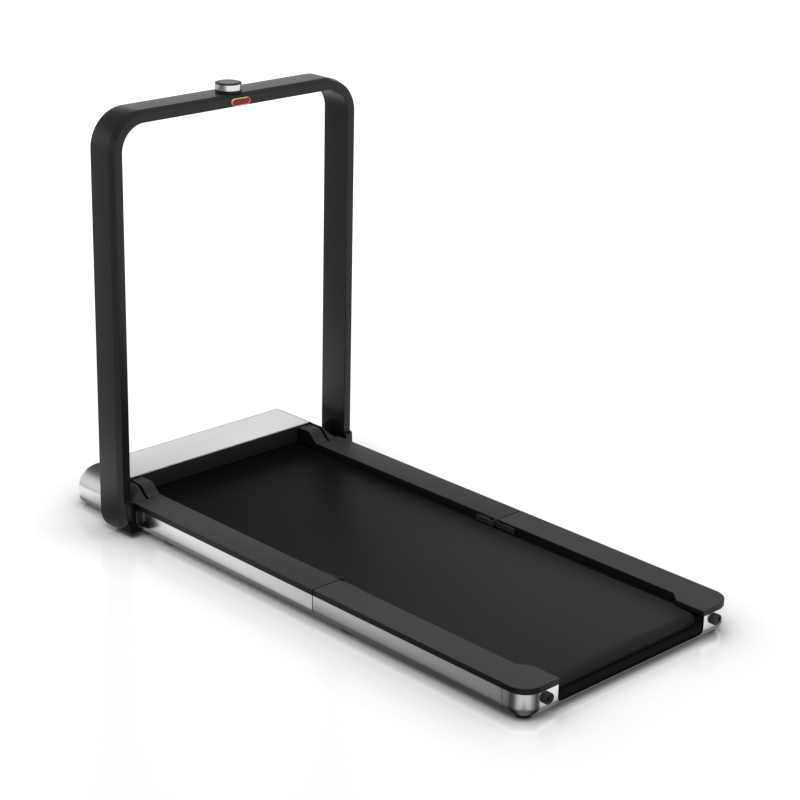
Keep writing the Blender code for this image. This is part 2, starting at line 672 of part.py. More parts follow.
def power_entry(finish, deck, rocker_axis):
    """Inlet socket for a mains plug, open to the front, beside the framed rocker switch."""
    face = FRONT_LENGTH - 0.0002
    z = POWER_Z
    body = block("power_entry", (SWITCH_X - SWITCH_HALF, INLET_X + INLET_HALF),
                 (FRONT_LENGTH - INLET_DEPTH, FRONT_LENGTH - HOOD_WALL - SEAT),
                 (z - INLET_HIGH, z + INLET_HIGH), finish["black"], deck)
    spans = {"inlet": (INLET_X, INLET_HALF, INLET_HIGH), "switch": (SWITCH_X, SWITCH_HALF, SWITCH_HIGH)}
    for label, (x, half, high) in spans.items():
        cut(body, block("cut_neck_" + label, (x - half + 0.0001, x + half - 0.0001),
                        (FRONT_LENGTH - INLET_DEPTH + 0.004, face),
                        (z - high + 0.0001, z + high - 0.0001), None, deck), operation="UNION")
    for label, (x, half, high) in spans.items():
        cut(body, block("cut_hollow_" + label, (x - half + SOCKET_WALL, x + half - SOCKET_WALL),
                        (FRONT_LENGTH - SOCKET_FLOOR, FRONT_LENGTH + 0.01),
                        (z - high + SOCKET_WALL, z + high - SOCKET_WALL), None, deck))

    tilt = math.radians(ROCKER_TILT)
    half = (SWITCH_HALF - SOCKET_WALL - ROCKER_GAP - ROCKER_PIVOT * math.sin(tilt)) / math.cos(tilt)
    high = SWITCH_HIGH - SOCKET_WALL - ROCKER_GAP
    ahead = ROCKER_PIVOT - 0.0004 - half * math.sin(tilt)
    outline = [(-half, ahead), (-half * 0.7, -ROCKER_DEEP), (half * 0.7, -ROCKER_DEEP), (half, ahead),
               (0.0, ahead - half * math.tan(tilt))]
    turn = Matrix.Rotation(tilt, 2)
    spots = [turn @ Vector(p) for p in outline]
    outline = [(SWITCH_X + p.x, FRONT_LENGTH - ROCKER_PIVOT + p.y) for p in spots]
    prism("switch_rocker", outline, z - high, z + high, "Z", finish["black"], rocker_axis)


def boards_and_pans(finish, deck, fold):
    """The two slide boards on the rails' ledges and the two pans that close the deck below."""
    clear = BELT_OUTER + BOARD_CLEAR
    block("deck_board_front", (-WEB_X, WEB_X), (SEAM_FACE + 0.003, FRONT_ROLLER_Y - clear),
          (BOARD_BOTTOM, BOARD_TOP), finish["board"], deck)
    block("deck_board_rear", (-WEB_X, WEB_X), (-REAR_ROLLER_Y + clear, -SEAM_FACE - 0.003),
          (BOARD_BOTTOM, BOARD_TOP), finish["board"], fold)
    inner = OPENING_HALF - SEAT
    shoulder = -REAR_LENGTH + CAP_FLANGE + SEAT
    end = -REAR_LENGTH + RAIL_FILLET
    half = [(PAN_HALF, -SEAM_FACE), (PAN_HALF, shoulder), (inner, shoulder), (inner, end)]
    outline = half + [(-x, y) for x, y in half[::-1]]
    pan = prism("rear_pan", outline, FLOOR_GAP, PAN_TOP, "Z", finish["silver"], fold)
    turn = arc((end, FLOOR_GAP + RAIL_FILLET), RAIL_FILLET, 180, 270)
    path = [(end + 0.002, FLOOR_GAP)] + turn[::-1]
    path += [(-REAR_LENGTH, OPENING_LOW + OPENING_CORNER - 0.002)]
    cut(pan, prism("cut_rear_lip", walled(path, PAN_THICK), -inner, inner, "X", None, fold),
        operation="UNION")
    mouth = mouth_outline(inner + 0.00005, OPENING_LOW, 0.1)
    cut(pan, prism("cut_mouth", mouth, -REAR_LENGTH - 0.01, end, "Y", None, fold))


def mouth_outline(half, low, high):
    """Opening at the rear of the deck, its two lower corners rounded."""
    right = arc((half - OPENING_CORNER, low + OPENING_CORNER), OPENING_CORNER, -90, 0)
    left = arc((-half + OPENING_CORNER, low + OPENING_CORNER), OPENING_CORNER, 180, 270)
    return right + [(half, high), (-half, high)] + left


def front_pan(finish, deck):
    """Floor of the front half, wider under the hood, with wells and brackets for two wheels."""
    wide = HALF - HOOD_FLANGE - SEAT
    front = FRONT_LENGTH - HOOD_FLANGE - SEAT
    corner = arc((wide - SHARP_CORNER, front - SHARP_CORNER), SHARP_CORNER, 0, 90, 3)
    half = [(PAN_HALF, SEAM_FACE), (PAN_HALF, HOOD_START), (wide, HOOD_START)] + corner
    outline = half + [(-x, y) for x, y in half[::-1]]
    pan = prism("front_pan", outline, FLOOR_GAP, PAN_TOP, "Z", finish["black"], deck)
    inside = WHEEL_WIDTH / 2 + 0.0015
    outside = inside + BRACKET_WALL
    long = WHEEL_RADIUS + 0.003
    for name, side in SIDES.items():
        x = side * WHEEL_X
        well = (x - inside, x + inside), (WHEEL_Y - long, WHEEL_Y + long)
        top = WHEEL_Z + WHEEL_RADIUS + 0.003
        arch = arc((WHEEL_Y, WHEEL_Z), long + BRACKET_WALL, 0, 180, 12)
        sides = [(WHEEL_Y + long + BRACKET_WALL, PAN_TOP - 0.001)] + arch
        sides += [(WHEEL_Y - long - BRACKET_WALL, PAN_TOP - 0.001)]
        house = prism("cut_house_" + name, sides, x - outside, x + outside, "X", None, deck)
        cut(pan, house, operation="UNION")
        room = arc((WHEEL_Y, WHEEL_Z), long, 0, 180, 12)
        room = [(WHEEL_Y + long, FLOOR_GAP - 0.01)] + room + [(WHEEL_Y - long, FLOOR_GAP - 0.01)]
        cut(pan, prism("cut_well_" + name, room, well[0][0], well[0][1], "X", None, deck))
        bore = rod(WHEEL_AXLE, -outside - 0.002, outside + 0.002)
        cut(pan, turned("cut_axle_" + name, bore, None, deck, (x, WHEEL_Y, WHEEL_Z), "X", 16))


def rear_frame(finish, fold):
    """Cross frame behind the roller: rounded mouth between the caps and the two axle carriers."""
    rear = -REAR_LENGTH + RAIL_WALL + SEAT
    mouth_end = -REAR_ROLLER_Y - BELT_OUTER - 0.002
    wide = PLUG_X + 0.0055
    bend = RAIL_FILLET - RAIL_WALL - SEAT
    centre = (-REAR_LENGTH + RAIL_FILLET, FLOOR_GAP + RAIL_FILLET)
    stop = 180 + math.degrees(math.asin((centre[1] - OPENING_LOW) / bend))
    outline = [(mouth_end, RAIL_TOP - 0.003), (rear, RAIL_TOP - 0.003)]
    outline += arc(centre, bend, 180, stop, 5) + [(mouth_end, OPENING_LOW)]
    frame = prism("rear_frame", outline, -wide, wide, "X", finish["black"], fold)
    for name, side in SIDES.items():
        across = sorted((side * (ROLLER_HALF + 0.0035), side * wide))
        cut(frame, block("cut_carrier_" + name, across, (mouth_end - 0.003, -CAP_JOINT - 0.004),
                         (OPENING_LOW + 0.001, RAIL_TOP - 0.004), None, fold), operation="UNION")
        spot = (side * (ROLLER_HALF + wide) / 2, -REAR_ROLLER_Y, ROLLER_Z)
        bore = rod(AXLE_RADIUS + BEARING_GAP, -0.03, 0.03)
        cut(frame, turned("cut_rear_bore_" + name, bore, None, fold, spot, "X"))
    mouth = mouth_outline(OPENING_HALF - 0.003, OPENING_LOW + OPENING_CORNER, 0.1)
    cut(frame, prism("cut_rear_mouth", mouth, rear - 0.01, mouth_end + 0.01, "Y", None, fold))


def drive_frame(finish, deck):
    """Welded frame under the hood: cross beam, axle plates, floor plate and motor saddles."""
    near = ROLLER_HALF + PULLEY_WIDTH + PLATE_GAP
    wide = near + DRIVE_PLATE
    low = FRAME_LOW
    floor = FRAME_FLOOR
    front = MOTOR_Y + CRADLE_HALF + 0.008
    beam = (HOOD_REAR - 0.048, HOOD_REAR - 0.013)
    frame = block("drive_frame", (-wide, wide), (FRONT_ROLLER_Y - BELT_OUTER, front), (low, floor),
                  finish["frame"], deck)
    cut(frame, block("cut_beam", (-wide + 0.001, wide - 0.001), beam,
                     (BELT_TOP - 2 * BELT_OUTER + BELT_THICK + 0.004, BOARD_BOTTOM - SEAT), None, deck),
        operation="UNION")
    for name, side in SIDES.items():
        y, top = FRONT_ROLLER_Y, ROLLER_Z + 0.018
        outline = [(beam[0], low), (y + 0.020, low), (y + 0.020, ROLLER_Z), (y + 0.010, top),
                   (y - 0.010, top), (y - 0.022, BOARD_BOTTOM - SEAT), (beam[0], BOARD_BOTTOM - SEAT)]
        cut(frame, prism("cut_plate_" + name, outline, side * near, side * wide, "X", None, deck),
            operation="UNION")
        spot = (side * (near + wide) / 2, FRONT_ROLLER_Y, ROLLER_Z)
        bore = rod(AXLE_RADIUS + BEARING_GAP, -0.01, 0.01)
        cut(frame, turned("cut_front_bore_" + name, bore, None, deck, spot, "X"))
    inner = -ROLLER_HALF + 0.003
    for i, x in enumerate((inner + 0.020, inner + MOTOR_LENGTH - 0.020)):
        bed = arc((MOTOR_Y, MOTOR_Z), MOTOR_RADIUS + SEAT, -125.7, -54.3, 8)
        outline = [(MOTOR_Y + CRADLE_HALF, floor - 0.001)] + bed[::-1]
        outline += [(MOTOR_Y - CRADLE_HALF, floor - 0.001)]
        cut(frame, prism("cut_saddle_%d" % i, outline, x - 0.006, x + 0.006, "X", None, deck),
            operation="UNION")


def rollers(finish, deck, fold, front_spin, rear_spin):
    """Hollow belt rollers with solid ends on fixed axles, and the ribbed pulley on the front one."""
    bore = AXLE_RADIUS + BEARING_GAP
    hollow = ROLLER_RADIUS - ROLLER_WALL
    hub = ROLLER_HALF - 0.012
    neck = AXLE_RADIUS + 0.0045
    for label, y, place in (("front", FRONT_ROLLER_Y, front_spin), ("rear", -REAR_ROLLER_Y, rear_spin)):
        profile = [(bore, -ROLLER_HALF), (ROLLER_RADIUS - 0.001, -ROLLER_HALF),
                   (ROLLER_RADIUS, -ROLLER_HALF + 0.001), (ROLLER_RADIUS, ROLLER_HALF - 0.001),
                   (ROLLER_RADIUS - 0.001, ROLLER_HALF), (bore, ROLLER_HALF), (bore, hub),
                   (neck, hub), (hollow, hub - 0.004), (hollow, -hub + 0.004), (neck, -hub), (bore, -hub)]
        turned("roller_" + label, profile, finish["steel"], place, (0.0, y, ROLLER_Z), "X")
    wide = ROLLER_HALF + PULLEY_WIDTH + PLATE_GAP + DRIVE_PLATE - 0.0005
    for label, y, home, half in (("front", FRONT_ROLLER_Y, deck, wide),
                                 ("rear", -REAR_ROLLER_Y, fold, PLUG_X)):
        axle = [(0.0, -half), (AXLE_RADIUS - 0.0008, -half), (AXLE_RADIUS, -half + 0.0008),
                (AXLE_RADIUS, half - 0.0008), (AXLE_RADIUS - 0.0008, half), (0.0, half)]
        turned("axle_" + label, axle, finish["steel"], home, (0.0, y, ROLLER_Z), "X", 24)
    turned("drive_pulley", ribbed(PULLEY_RADIUS, bore), finish["frame"], front_spin,
           (-ROLLER_HALF - SEAT, FRONT_ROLLER_Y, ROLLER_Z), "X")


def ribbed(radius, bore):
    """Profile of a pulley with V ribs between two flanges, from its left face to the roller's end."""
    left = -PULLEY_HUB - PULLEY_WIDTH
    right = -PULLEY_HUB
    rim = radius + PULLEY_FLANGE
    edge = PULLEY_FLANGE
    rib = (PULLEY_WIDTH - 2 * edge) / RIBS
    hub = max(radius * 0.7, bore + PULLEY_FLANGE)
    profile = [(bore, left), (rim, left), (rim, left + edge * 0.75)]
    for i in range(RIBS):
        start = left + edge + rib * i
        profile += [(radius, start), (radius - RIB_DEEP, start + rib / 2)]
    profile += [(radius, right - edge), (rim, right - edge * 0.75), (rim, right), (hub, right)]
    return profile + [(hub, 0.0), (bore, 0.0)]


def motor(finish, deck, motor_spin):
    """Finned casing on its saddles, and the shaft inside with its rotor and its ribbed pulley."""
    right = -ROLLER_HALF + 0.003 + MOTOR_LENGTH
    left = right - MOTOR_LENGTH
    fins = []
    middle = (left + right - FIN_PITCH * (FINS - 0.5)) / 2
    for i in range(FINS):
        start = middle + FIN_PITCH * i
        end = start + FIN_PITCH / 2
        fins += [(MOTOR_RADIUS, start), (MOTOR_RADIUS - FIN_DEEP, start + 0.001),
                 (MOTOR_RADIUS - FIN_DEEP, end - 0.001), (MOTOR_RADIUS, end)]
    bell = MOTOR_RADIUS - CASING_WALL
    room = bell - FIN_DEEP
    inside = (left + CASING_END, right - CASING_END)
    bore = SHAFT_RADIUS + BEARING_GAP
    profile = [(bore, left), (0.012, left), (0.012, left + 0.004), (bell, left + 0.005)]
    profile += [(MOTOR_RADIUS, left + 0.009)] + fins
    profile += [(MOTOR_RADIUS, right - 0.004), (bell, right), (0.0, right), (0.0, inside[1]),
                (room, inside[1]), (room, inside[0]), (bore, inside[0])]
    turned("motor", profile, finish["motor"], deck, (0.0, MOTOR_Y, MOTOR_Z), "X")
    start = -ROLLER_HALF - SEAT
    rotor = [(SHAFT_RADIUS, 0.0)]
    for x, out in ((inside[0] + ROTOR_END, True), (inside[1] - ROTOR_END, False)):
        step = [(SHAFT_RADIUS, x - start), (room - ROTOR_GAP, x - start)]
        rotor += step if out else step[::-1]
    tip = inside[1] - 0.003 - start
    profile = [(0.0, -PULLEY_HUB - PULLEY_WIDTH)] + ribbed(MOTOR_PULLEY_RADIUS, SHAFT_RADIUS)[1:-1]
    profile += rotor + [(SHAFT_RADIUS, tip), (0.0, tip)]
    turned("motor_shaft", profile, finish["steel"], motor_spin, (start, MOTOR_Y, MOTOR_Z), "X", 16)


def loop_path(big, big_radius, small, small_radius, steps=14):
    """Outline of a belt round two pulleys, given their centres (y, z); the big one lies behind."""
    run = Vector((small[0] - big[0], small[1] - big[1]))
    lean = math.degrees(math.atan2(run.y, run.x))
    spread = math.degrees(math.acos((big_radius - small_radius) / run.length))
    back = arc(big, big_radius, lean + spread, lean + 360 - spread, steps)
    front = arc(small, small_radius, lean - spread, lean + spread, steps)
    return back + front


def drive_belt(finish, deck):
    big = (FRONT_ROLLER_Y, ROLLER_Z)
    small = (MOTOR_Y, MOTOR_Z)
    inner = loop_path(big, PULLEY_RADIUS + SEAT, small, MOTOR_PULLEY_RADIUS + SEAT)
    thick = DRIVE_BELT_THICK
    outer = loop_path(big, PULLEY_RADIUS + SEAT + thick, small, MOTOR_PULLEY_RADIUS + SEAT + thick)
    slack = PULLEY_FLANGE + 0.0005
    right = -ROLLER_HALF - SEAT - PULLEY_HUB - slack
    left = right - PULLEY_WIDTH + 2 * slack
    bm = bmesh.new()
    rings = []
    for outline, x in ((inner, left), (outer, left), (outer, right), (inner, right)):
        rings.append([bm.verts.new((x, y, z)) for y, z in outline])
    joined_rings(bm, rings + rings[:1])
    added("drive_belt", bm, finish["belt"], deck)


def belts(finish, deck, fold):
    """The walking belt as two halves, each round its roller and open at the seam."""
    for label, y, sign, home in (("front", FRONT_ROLLER_Y, 1, deck), ("rear", -REAR_ROLLER_Y, -1, fold)):
        turn = arc((abs(y), ROLLER_Z), BELT_OUTER, 90, -90, 16)
        path = [(SEAM_FACE, BELT_TOP)] + turn + [(SEAM_FACE, BELT_TOP - 2 * BELT_OUTER)]
        outline = [(sign * a, b) for a, b in walled(path, BELT_THICK)]
        prism("belt_" + label, outline, -BELT_HALF, BELT_HALF, "X", finish["belt"], home)


def controller(finish, deck):
    """Speed controller on the floor plate: a case with an extruded heat sink on top."""
    low = FRAME_FLOOR + SEAT
    body_top = low + CONTROLLER_HIGH
    fin_top = body_top + SINK_HIGH
    rear = MOTOR_Y - MOTOR_RADIUS
    ahead = rear + CONTROLLER_DEEP
    pitch = (ahead - rear) / (2 * SINK_FINS - 1)
    comb = [(rear, low), (ahead, low), (ahead, fin_top)]
    for i in range(SINK_FINS - 1):
        edge = ahead - pitch * (2 * i + 1)
        comb += [(edge, fin_top), (edge, body_top), (edge - pitch, body_top), (edge - pitch, fin_top)]
    comb += [(rear, fin_top)]
    prism("controller", comb, CONTROLLER_LEFT, CONTROLLER_LEFT + CONTROLLER_LONG, "X", finish["motor"], deck)


def fold_hinges(finish, deck, fold):
    """A leaf on each half beside the belt; the front one carries the pin through the rear one's eye."""
    eye = arc((0.0, FOLD_Z), KNUCKLE, 200, -70, 14)
    foot_top = TRIM_TOP - 0.004
    leaf = [(LEAF_LENGTH, LEAF_Z), (0.005, LEAF_Z), (-KNUCKLE * 0.2, foot_top - 0.006)]
    leaf = eye + [(0.008, foot_top), (LEAF_LENGTH, foot_top)] + leaf
    reach = TRIM_INNER - SEAT
    for name, side in SIDES.items():
        near = side * HINGE_X
        far = side * (HINGE_X + LEAF_THICK)
        front = prism("fold_hinge_front_" + name, leaf, near, far, "X", finish["frame"], deck)
        spacer = [(LEAF_LENGTH - 0.005, LEAF_Z + 0.001), (0.022, LEAF_Z + 0.001), (0.022, foot_top - 0.001),
                  (LEAF_LENGTH - 0.005, foot_top - 0.001)]
        cut(front, prism("cut_front_spacer_" + name, spacer, far - side * 0.001, side * reach, "X",
                         None, deck), operation="UNION")
        length = 2 * LEAF_THICK + 0.0009
        ends = sorted((0.001 - LEAF_THICK, length - LEAF_THICK)) if side > 0 else sorted(
            (LEAF_THICK - 0.001, LEAF_THICK - length))
        cut(front, turned("cut_fold_pin_" + name, rod(HINGE_PIN, *ends), None, deck, (far, 0.0, FOLD_Z),
                          "X", 16), operation="UNION")
        back = [(-a, b) for a, b in leaf]
        near = side * (HINGE_X + LEAF_THICK + 0.0003)
        far = side * (HINGE_X + 2 * LEAF_THICK + 0.0003)
        rear = prism("fold_hinge_rear_" + name, back, near, far, "X", finish["frame"], fold)
        cut(rear, prism("cut_rear_spacer_" + name, [(-a, b) for a, b in spacer], far - side * 0.001,
                        side * reach, "X", None, fold), operation="UNION")
        cut(rear, turned("cut_eye_" + name, rod(HINGE_PIN + BEARING_GAP, -0.005, 0.005), None, fold,
                         ((near + far) / 2, 0.0, FOLD_Z), "X", 16))


def feet(finish, deck, fold):
    """Low rubber discs under the rails and the rear corners."""
    for label, y in FOOT_PLACES.items():
        home = deck if y > 0 else fold
        for name, side in SIDES.items():
            high = FLOOR_GAP - SEAT
            profile = [(0.0, 0.0), (FOOT_RADIUS - 0.001, 0.0), (FOOT_RADIUS, 0.001), (FOOT_RADIUS, high),
                       (0.0, high)]
            turned("foot_%s_%s" % (label, name), profile, finish["rubber"], home,
                   (side * FOOT_X, y, 0.0), "Z", 24)


def wheels(finish, spins):
    """Two small rollers in the floor's wells, each moulded with its own stub axle."""
    for name, side in SIDES.items():
        half = WHEEL_WIDTH / 2
        stub = half + 0.0015 + BRACKET_WALL
        axle = WHEEL_AXLE - BEARING_GAP
        profile = [(0.0, -stub), (axle, -stub), (axle, -half - 0.001), (0.007, -half - 0.001), (0.007, -half),
                   (WHEEL_RADIUS - 0.002, -half), (WHEEL_RADIUS, -half + 0.002), (WHEEL_RADIUS, half - 0.002),
                   (WHEEL_RADIUS - 0.002, half), (0.007, half), (0.007, half + 0.001), (axle, half + 0.001),
                   (axle, stub), (0.0, stub)]
        turned("transport_wheel_" + name, profile, finish["rubber"], spins[name],
               (side * WHEEL_X, WHEEL_Y, WHEEL_Z), "X", 20)


def hinge_plates(finish, deck):
    """Cast plates that end the rails and rise as ears for the handrail frame's pins."""
    start = RAIL_FRONT_END + SEAT
    for name, side in SIDES.items():
        foot = arc((HALF - RAIL_FILLET, FLOOR_GAP + RAIL_FILLET), RAIL_FILLET, 0, -90)
        section = walled([(HALF, RAIL_TOP)] + foot + [(WEB_X, FLOOR_GAP)], RAIL_WALL)
        section = [(side * x, z) for x, z in section]
        plate = prism("hinge_plate_" + name, section, start, HOOD_REAR - SEAT, "Y", finish["grey"], deck)
        boss = [(PIVOT_Y - SWEEP_RADIUS + 0.012, 0.023), (HOOD_REAR - 0.004, 0.023),
                (HOOD_REAR - 0.004, RAIL_TOP - 0.0005), (PIVOT_Y - SWEEP_RADIUS + 0.012, RAIL_TOP - 0.0005)]
        cut(plate, prism("cut_boss_" + name, boss, side * (HALF - 0.001), side * EAR_FACE, "X", None, deck),
            operation="UNION")
        top = arc((PIVOT_Y, PIVOT_Z), EAR_RADIUS, 0, 180, 16)
        ear = [(PIVOT_Y + EAR_RADIUS, 0.040)] + top + [(PIVOT_Y - EAR_RADIUS, 0.040)]
        cut(plate, prism("cut_ear_" + name, ear, side * (HALF + 0.0005), side * (EAR_FACE - 0.0001), "X",
                         None, deck), operation="UNION")
        cut(plate, turned("cut_pivot_bore_" + name, rod(PIN_RADIUS + PIN_GAP, -0.02, 0.02), None, deck,
                          (side * EAR_FACE, PIVOT_Y, PIVOT_Z), "X", 24))


def pivot_pins(finish, rail_pivot):
    """Shouldered pins that hold the frame's uprights to the ears."""
    for name, side in SIDES.items():
        inner = HALF + 0.0005 - PIN_GAP
        profile = [(0.0, FRAME_INNER - SEAT), (PIN_RADIUS, FRAME_INNER - SEAT), (PIN_RADIUS, inner),
                   (PIN_HEAD, inner), (PIN_HEAD, inner - PIN_HEAD_THICK + 0.001),
                   (PIN_HEAD - 0.001, inner - PIN_HEAD_THICK), (0.0, inner - PIN_HEAD_THICK)]
        profile = [(r, side * h) for r, h in profile]
        turned("pivot_pin_" + name, profile, finish["steel"], rail_pivot, (0.0, PIVOT_Y, PIVOT_Z), "X", 24)


def sweep_edge(z):
    """Rear limit, at a height, of the circle that the frame's lower end keeps within."""
    return PIVOT_Y - math.sqrt(max(SWEEP_RADIUS ** 2 - (PIVOT_Z - z) ** 2, 0.0))


def upright_depth(z):
    """(rear, front) of an upright at a height: flared to the rear and rounded at the foot."""
    rear = TUBE_REAR
    if z < FLARE_TOP:
        share = min((FLARE_TOP - z) / (FLARE_TOP - FLARE_END), 1.0)
        rear = TUBE_REAR - FLARE_REACH * (1.0 - (1.0 - share) ** 3)
    if z < PIVOT_Z - SWEEP_RADIUS * 0.55:
        rear = max(rear, sweep_edge(z))
    front = FRAME_FRONT
    rise = z - FOOT_Z
    if rise < FOOT_CORNER:
        front += math.sqrt(FOOT_CORNER ** 2 - (FOOT_CORNER - rise) ** 2) - FOOT_CORNER
    return rear, front


def handrail_frame(finish, rail_pivot):
    """One bent tube, chamfered towards the user, its feet filled up to above the pins; the knob's
    leads pass through a hole under the knob."""
    top = FRAME_TOP - BEND_RADIUS
    low = [FOOT_Z, 0.0145, 0.018, 0.023, 0.029, 0.0355, 0.041, 0.050, 0.060, 0.070, 0.077, FLARE_TOP,
           PLUG_TOP]
    route = [((FRAME_HALF, z), (1.0, 0.0), upright_depth(z)) for z in low]
    for turn in range(0, 91, 9):
        out = (math.cos(math.radians(turn)), math.sin(math.radians(turn)))
        spot = (FRAME_HALF - BEND_RADIUS + BEND_RADIUS * out[0], top + BEND_RADIUS * out[1])
        route.append((spot, out, (TUBE_REAR, FRAME_FRONT)))
    route += [((-x, z), (-a, b), depth) for (x, z), (a, b), depth in route[::-1]]
    outer, inner = [], []
    for spot, out, (rear, front) in route:
        outline = [(TUBE_THICK, rear), (CHAMFER_IN, rear), (0.0, rear + CHAMFER_DEEP), (0.0, front),
                   (TUBE_THICK, front)]
        for sections, section in ((outer, outline), (inner, beside(outline, TUBE_WALL, closed=True))):
            sections.append([(spot[0] - out[0] * n, y, spot[1] - out[1] * n) for n, y in section])
    frame = loft("handrail_frame", outer, finish["frame"], rail_pivot)
    solid = sum(z < PLUG_TOP for z in low)
    inner = inner[solid:-solid]
    lead = rod(LEAD_HOLE, -2 * TUBE_WALL, 2 * TUBE_WALL)
    cut(frame, loft("cut_passage", inner, None, rail_pivot),
        turned("cut_lead_hole", lead, None, rail_pivot, (0.0, PIVOT_Y, FRAME_TOP), "Z", 12))


def heels(finish, deck):
    """Fixed wedges behind the frame's feet, hollowed to the circle that the feet swing in."""
    radius = SWEEP_RADIUS + HEEL_GAP
    low = FOOT_Z - 0.0003
    high = 0.0362
    start = 180 + math.degrees(math.asin((PIVOT_Z - high) / radius))
    end = 180 + math.degrees(math.asin((PIVOT_Z - low) / radius))
    hollow = arc((PIVOT_Y, PIVOT_Z), radius, start, end, 10)
    outline = hollow + [(HEEL_TIP + 0.004, low), (HEEL_TIP + 0.001, low + 0.001), (HEEL_TIP, low + 0.004),
                        (HEEL_TIP + 0.0012, low + 0.0065), (HEEL_TIP + 0.004, low + 0.0088),
                        (HEEL_TIP + 0.014, low + 0.013), (HEEL_TIP + 0.0195, low + 0.019)]
    for name, side in SIDES.items():
        heel = prism("heel_" + name, outline, side * (EAR_FACE + SEAT), side * FRAME_HALF, "X",
                     finish["black"], deck)
        softened(heel, 0.0006, 1, 50)


def knob(finish, rail_pivot, knob_spin):
    """Speed knob on the crossbar: fixed base with its post, turning ring and the cap button."""
    low = FRAME_TOP + SEAT
    ring_low = low + KNOB_BASE
    ring_high = ring_low + KNOB_RING
    web = ring_low + RING_WEB
    button_low = ring_high + CAP_RISE - BUTTON_THICK
    post = button_low - BUTTON_TRAVEL - SEAT
    at = (0.0, PIVOT_Y, 0.0)
    base = [(0.0, low), (KNOB_RADIUS - 0.0006, low), (KNOB_RADIUS, low + 0.0006),
            (KNOB_RADIUS, ring_low - SEAT), (POST_RADIUS, ring_low - SEAT), (POST_RADIUS, post), (0.0, post)]
    turned("knob_base", base, finish["black"], rail_pivot, at, "Z", 40)
    inside = KNOB_RADIUS - RING_WALL
    ring = [(POST_RADIUS + BEARING_GAP, ring_low), (KNOB_RADIUS - 0.0006, ring_low),
            (KNOB_RADIUS, ring_low + 0.0006), (KNOB_RADIUS, ring_high - 0.001),
            (KNOB_RADIUS - 0.001, ring_high), (inside + 0.0008, ring_high), (inside, ring_high - 0.0008),
            (inside, web), (POST_RADIUS + BEARING_GAP, web)]
    turned("knob_ring", ring, finish["chrome"], knob_spin, at, "Z", 40)
    face = inside - 0.0004
    top = ring_high + CAP_RISE
    button = [(0.0, button_low), (face, button_low), (face, top - 0.001), (face - 0.001, top), (0.0, top)]
    turned("knob_button", button, finish["knob_face"], rail_pivot, at, "Z", 40)


def safety_key(finish, rail_pivot, key_slide):
    """Oval dock on the crossbar's user side and the magnetic key that pulls out of it."""
    face = TUBE_REAR - SEAT
    dock = prism("safety_key_dock", stadium(DOCK_WIDTH, DOCK_HEIGHT, 14, (0.0, KEY_Z)), face,
                 face - DOCK_PROUD, "Y", finish["dock"], rail_pivot)
    softened(dock, 0.0005, 2, 60)
    recess = stadium(DOCK_WIDTH - 2 * DOCK_RIM, DOCK_HEIGHT - 2 * DOCK_RIM, 14, (0.0, KEY_Z))
    floor = face - 0.0006
    cut(dock, prism("cut_recess", recess, floor, face - 0.01, "Y", None, rail_pivot))
    inset = DOCK_RIM + KEY_GAP
    outline = stadium(DOCK_WIDTH - 2 * inset, DOCK_HEIGHT - 2 * inset, 14, (0.0, KEY_Z))
    key = prism("safety_key", outline, floor - SEAT, face - DOCK_PROUD + KEY_SUNK, "Y", finish["key"],
                key_slide)
    softened(key, 0.0006, 2, 60)


def main():
    clear_scene()
    finish = finishes()
    deck = pivot("deck", (0.0, 0.0, 0.0))
    fold = pivot("fold_axis", (0.0, 0.0, FOLD_Z), deck)
    rail_pivot = pivot("handrail_axis", (0.0, PIVOT_Y, PIVOT_Z), deck)
    knob_spin = pivot("knob_axis", (0.0, PIVOT_Y, FRAME_TOP), rail_pivot)
    key_slide = pivot("key_axis", (0.0, TUBE_REAR, KEY_Z), rail_pivot)
    front_spin = pivot("front_roller_axis", (0.0, FRONT_ROLLER_Y, ROLLER_Z), deck)
    rear_spin = pivot("rear_roller_axis", (0.0, -REAR_ROLLER_Y, ROLLER_Z), fold)
    motor_spin = pivot("motor_axis", (0.0, MOTOR_Y, MOTOR_Z), deck)
    rocker_axis = pivot("rocker_axis", (SWITCH_X, FRONT_LENGTH - ROCKER_PIVOT, POWER_Z), deck)
    spins = {name: pivot("wheel_axis_" + name, (side * WHEEL_X, WHEEL_Y, WHEEL_Z), deck)
             for name, side in SIDES.items()}

    rails(finish, deck, fold)
    corner_caps(finish, fold)
    adjuster_plugs(finish, fold)
    trims(finish, deck, fold)
    bridge_covers(finish, deck)
    hinge_plates(finish, deck)
    heels(finish, deck)
    hood(finish, deck)
    front_pan(finish, deck)
    boards_and_pans(finish, deck, fold)
    rear_frame(finish, fold)
    drive_frame(finish, deck)
    rollers(finish, deck, fold, front_spin, rear_spin)
    motor(finish, deck, motor_spin)
    drive_belt(finish, deck)
    belts(finish, deck, fold)
    controller(finish, deck)
    power_entry(finish, deck, rocker_axis)
    fold_hinges(finish, deck, fold)
    feet(finish, deck, fold)
    wheels(finish, spins)
    handrail_frame(finish, rail_pivot)
    pivot_pins(finish, rail_pivot)
    knob(finish, rail_pivot, knob_spin)
    safety_key(finish, rail_pivot, key_slide)


main()
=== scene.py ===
# %% [markdown]
# # Folding treadmill
# A low treadmill whose deck folds in the middle and whose handrail frame swings down. The frame
# loaded here holds every solid at its real place, and this lesson gives each visible piece its finer
# shape and finish. Lengths are metres, the floor is z = 0 and the hood points along +Y.

# %% Load the frame
import math

import bmesh
import bpy
import numpy as np
from mathutils import Matrix, Vector


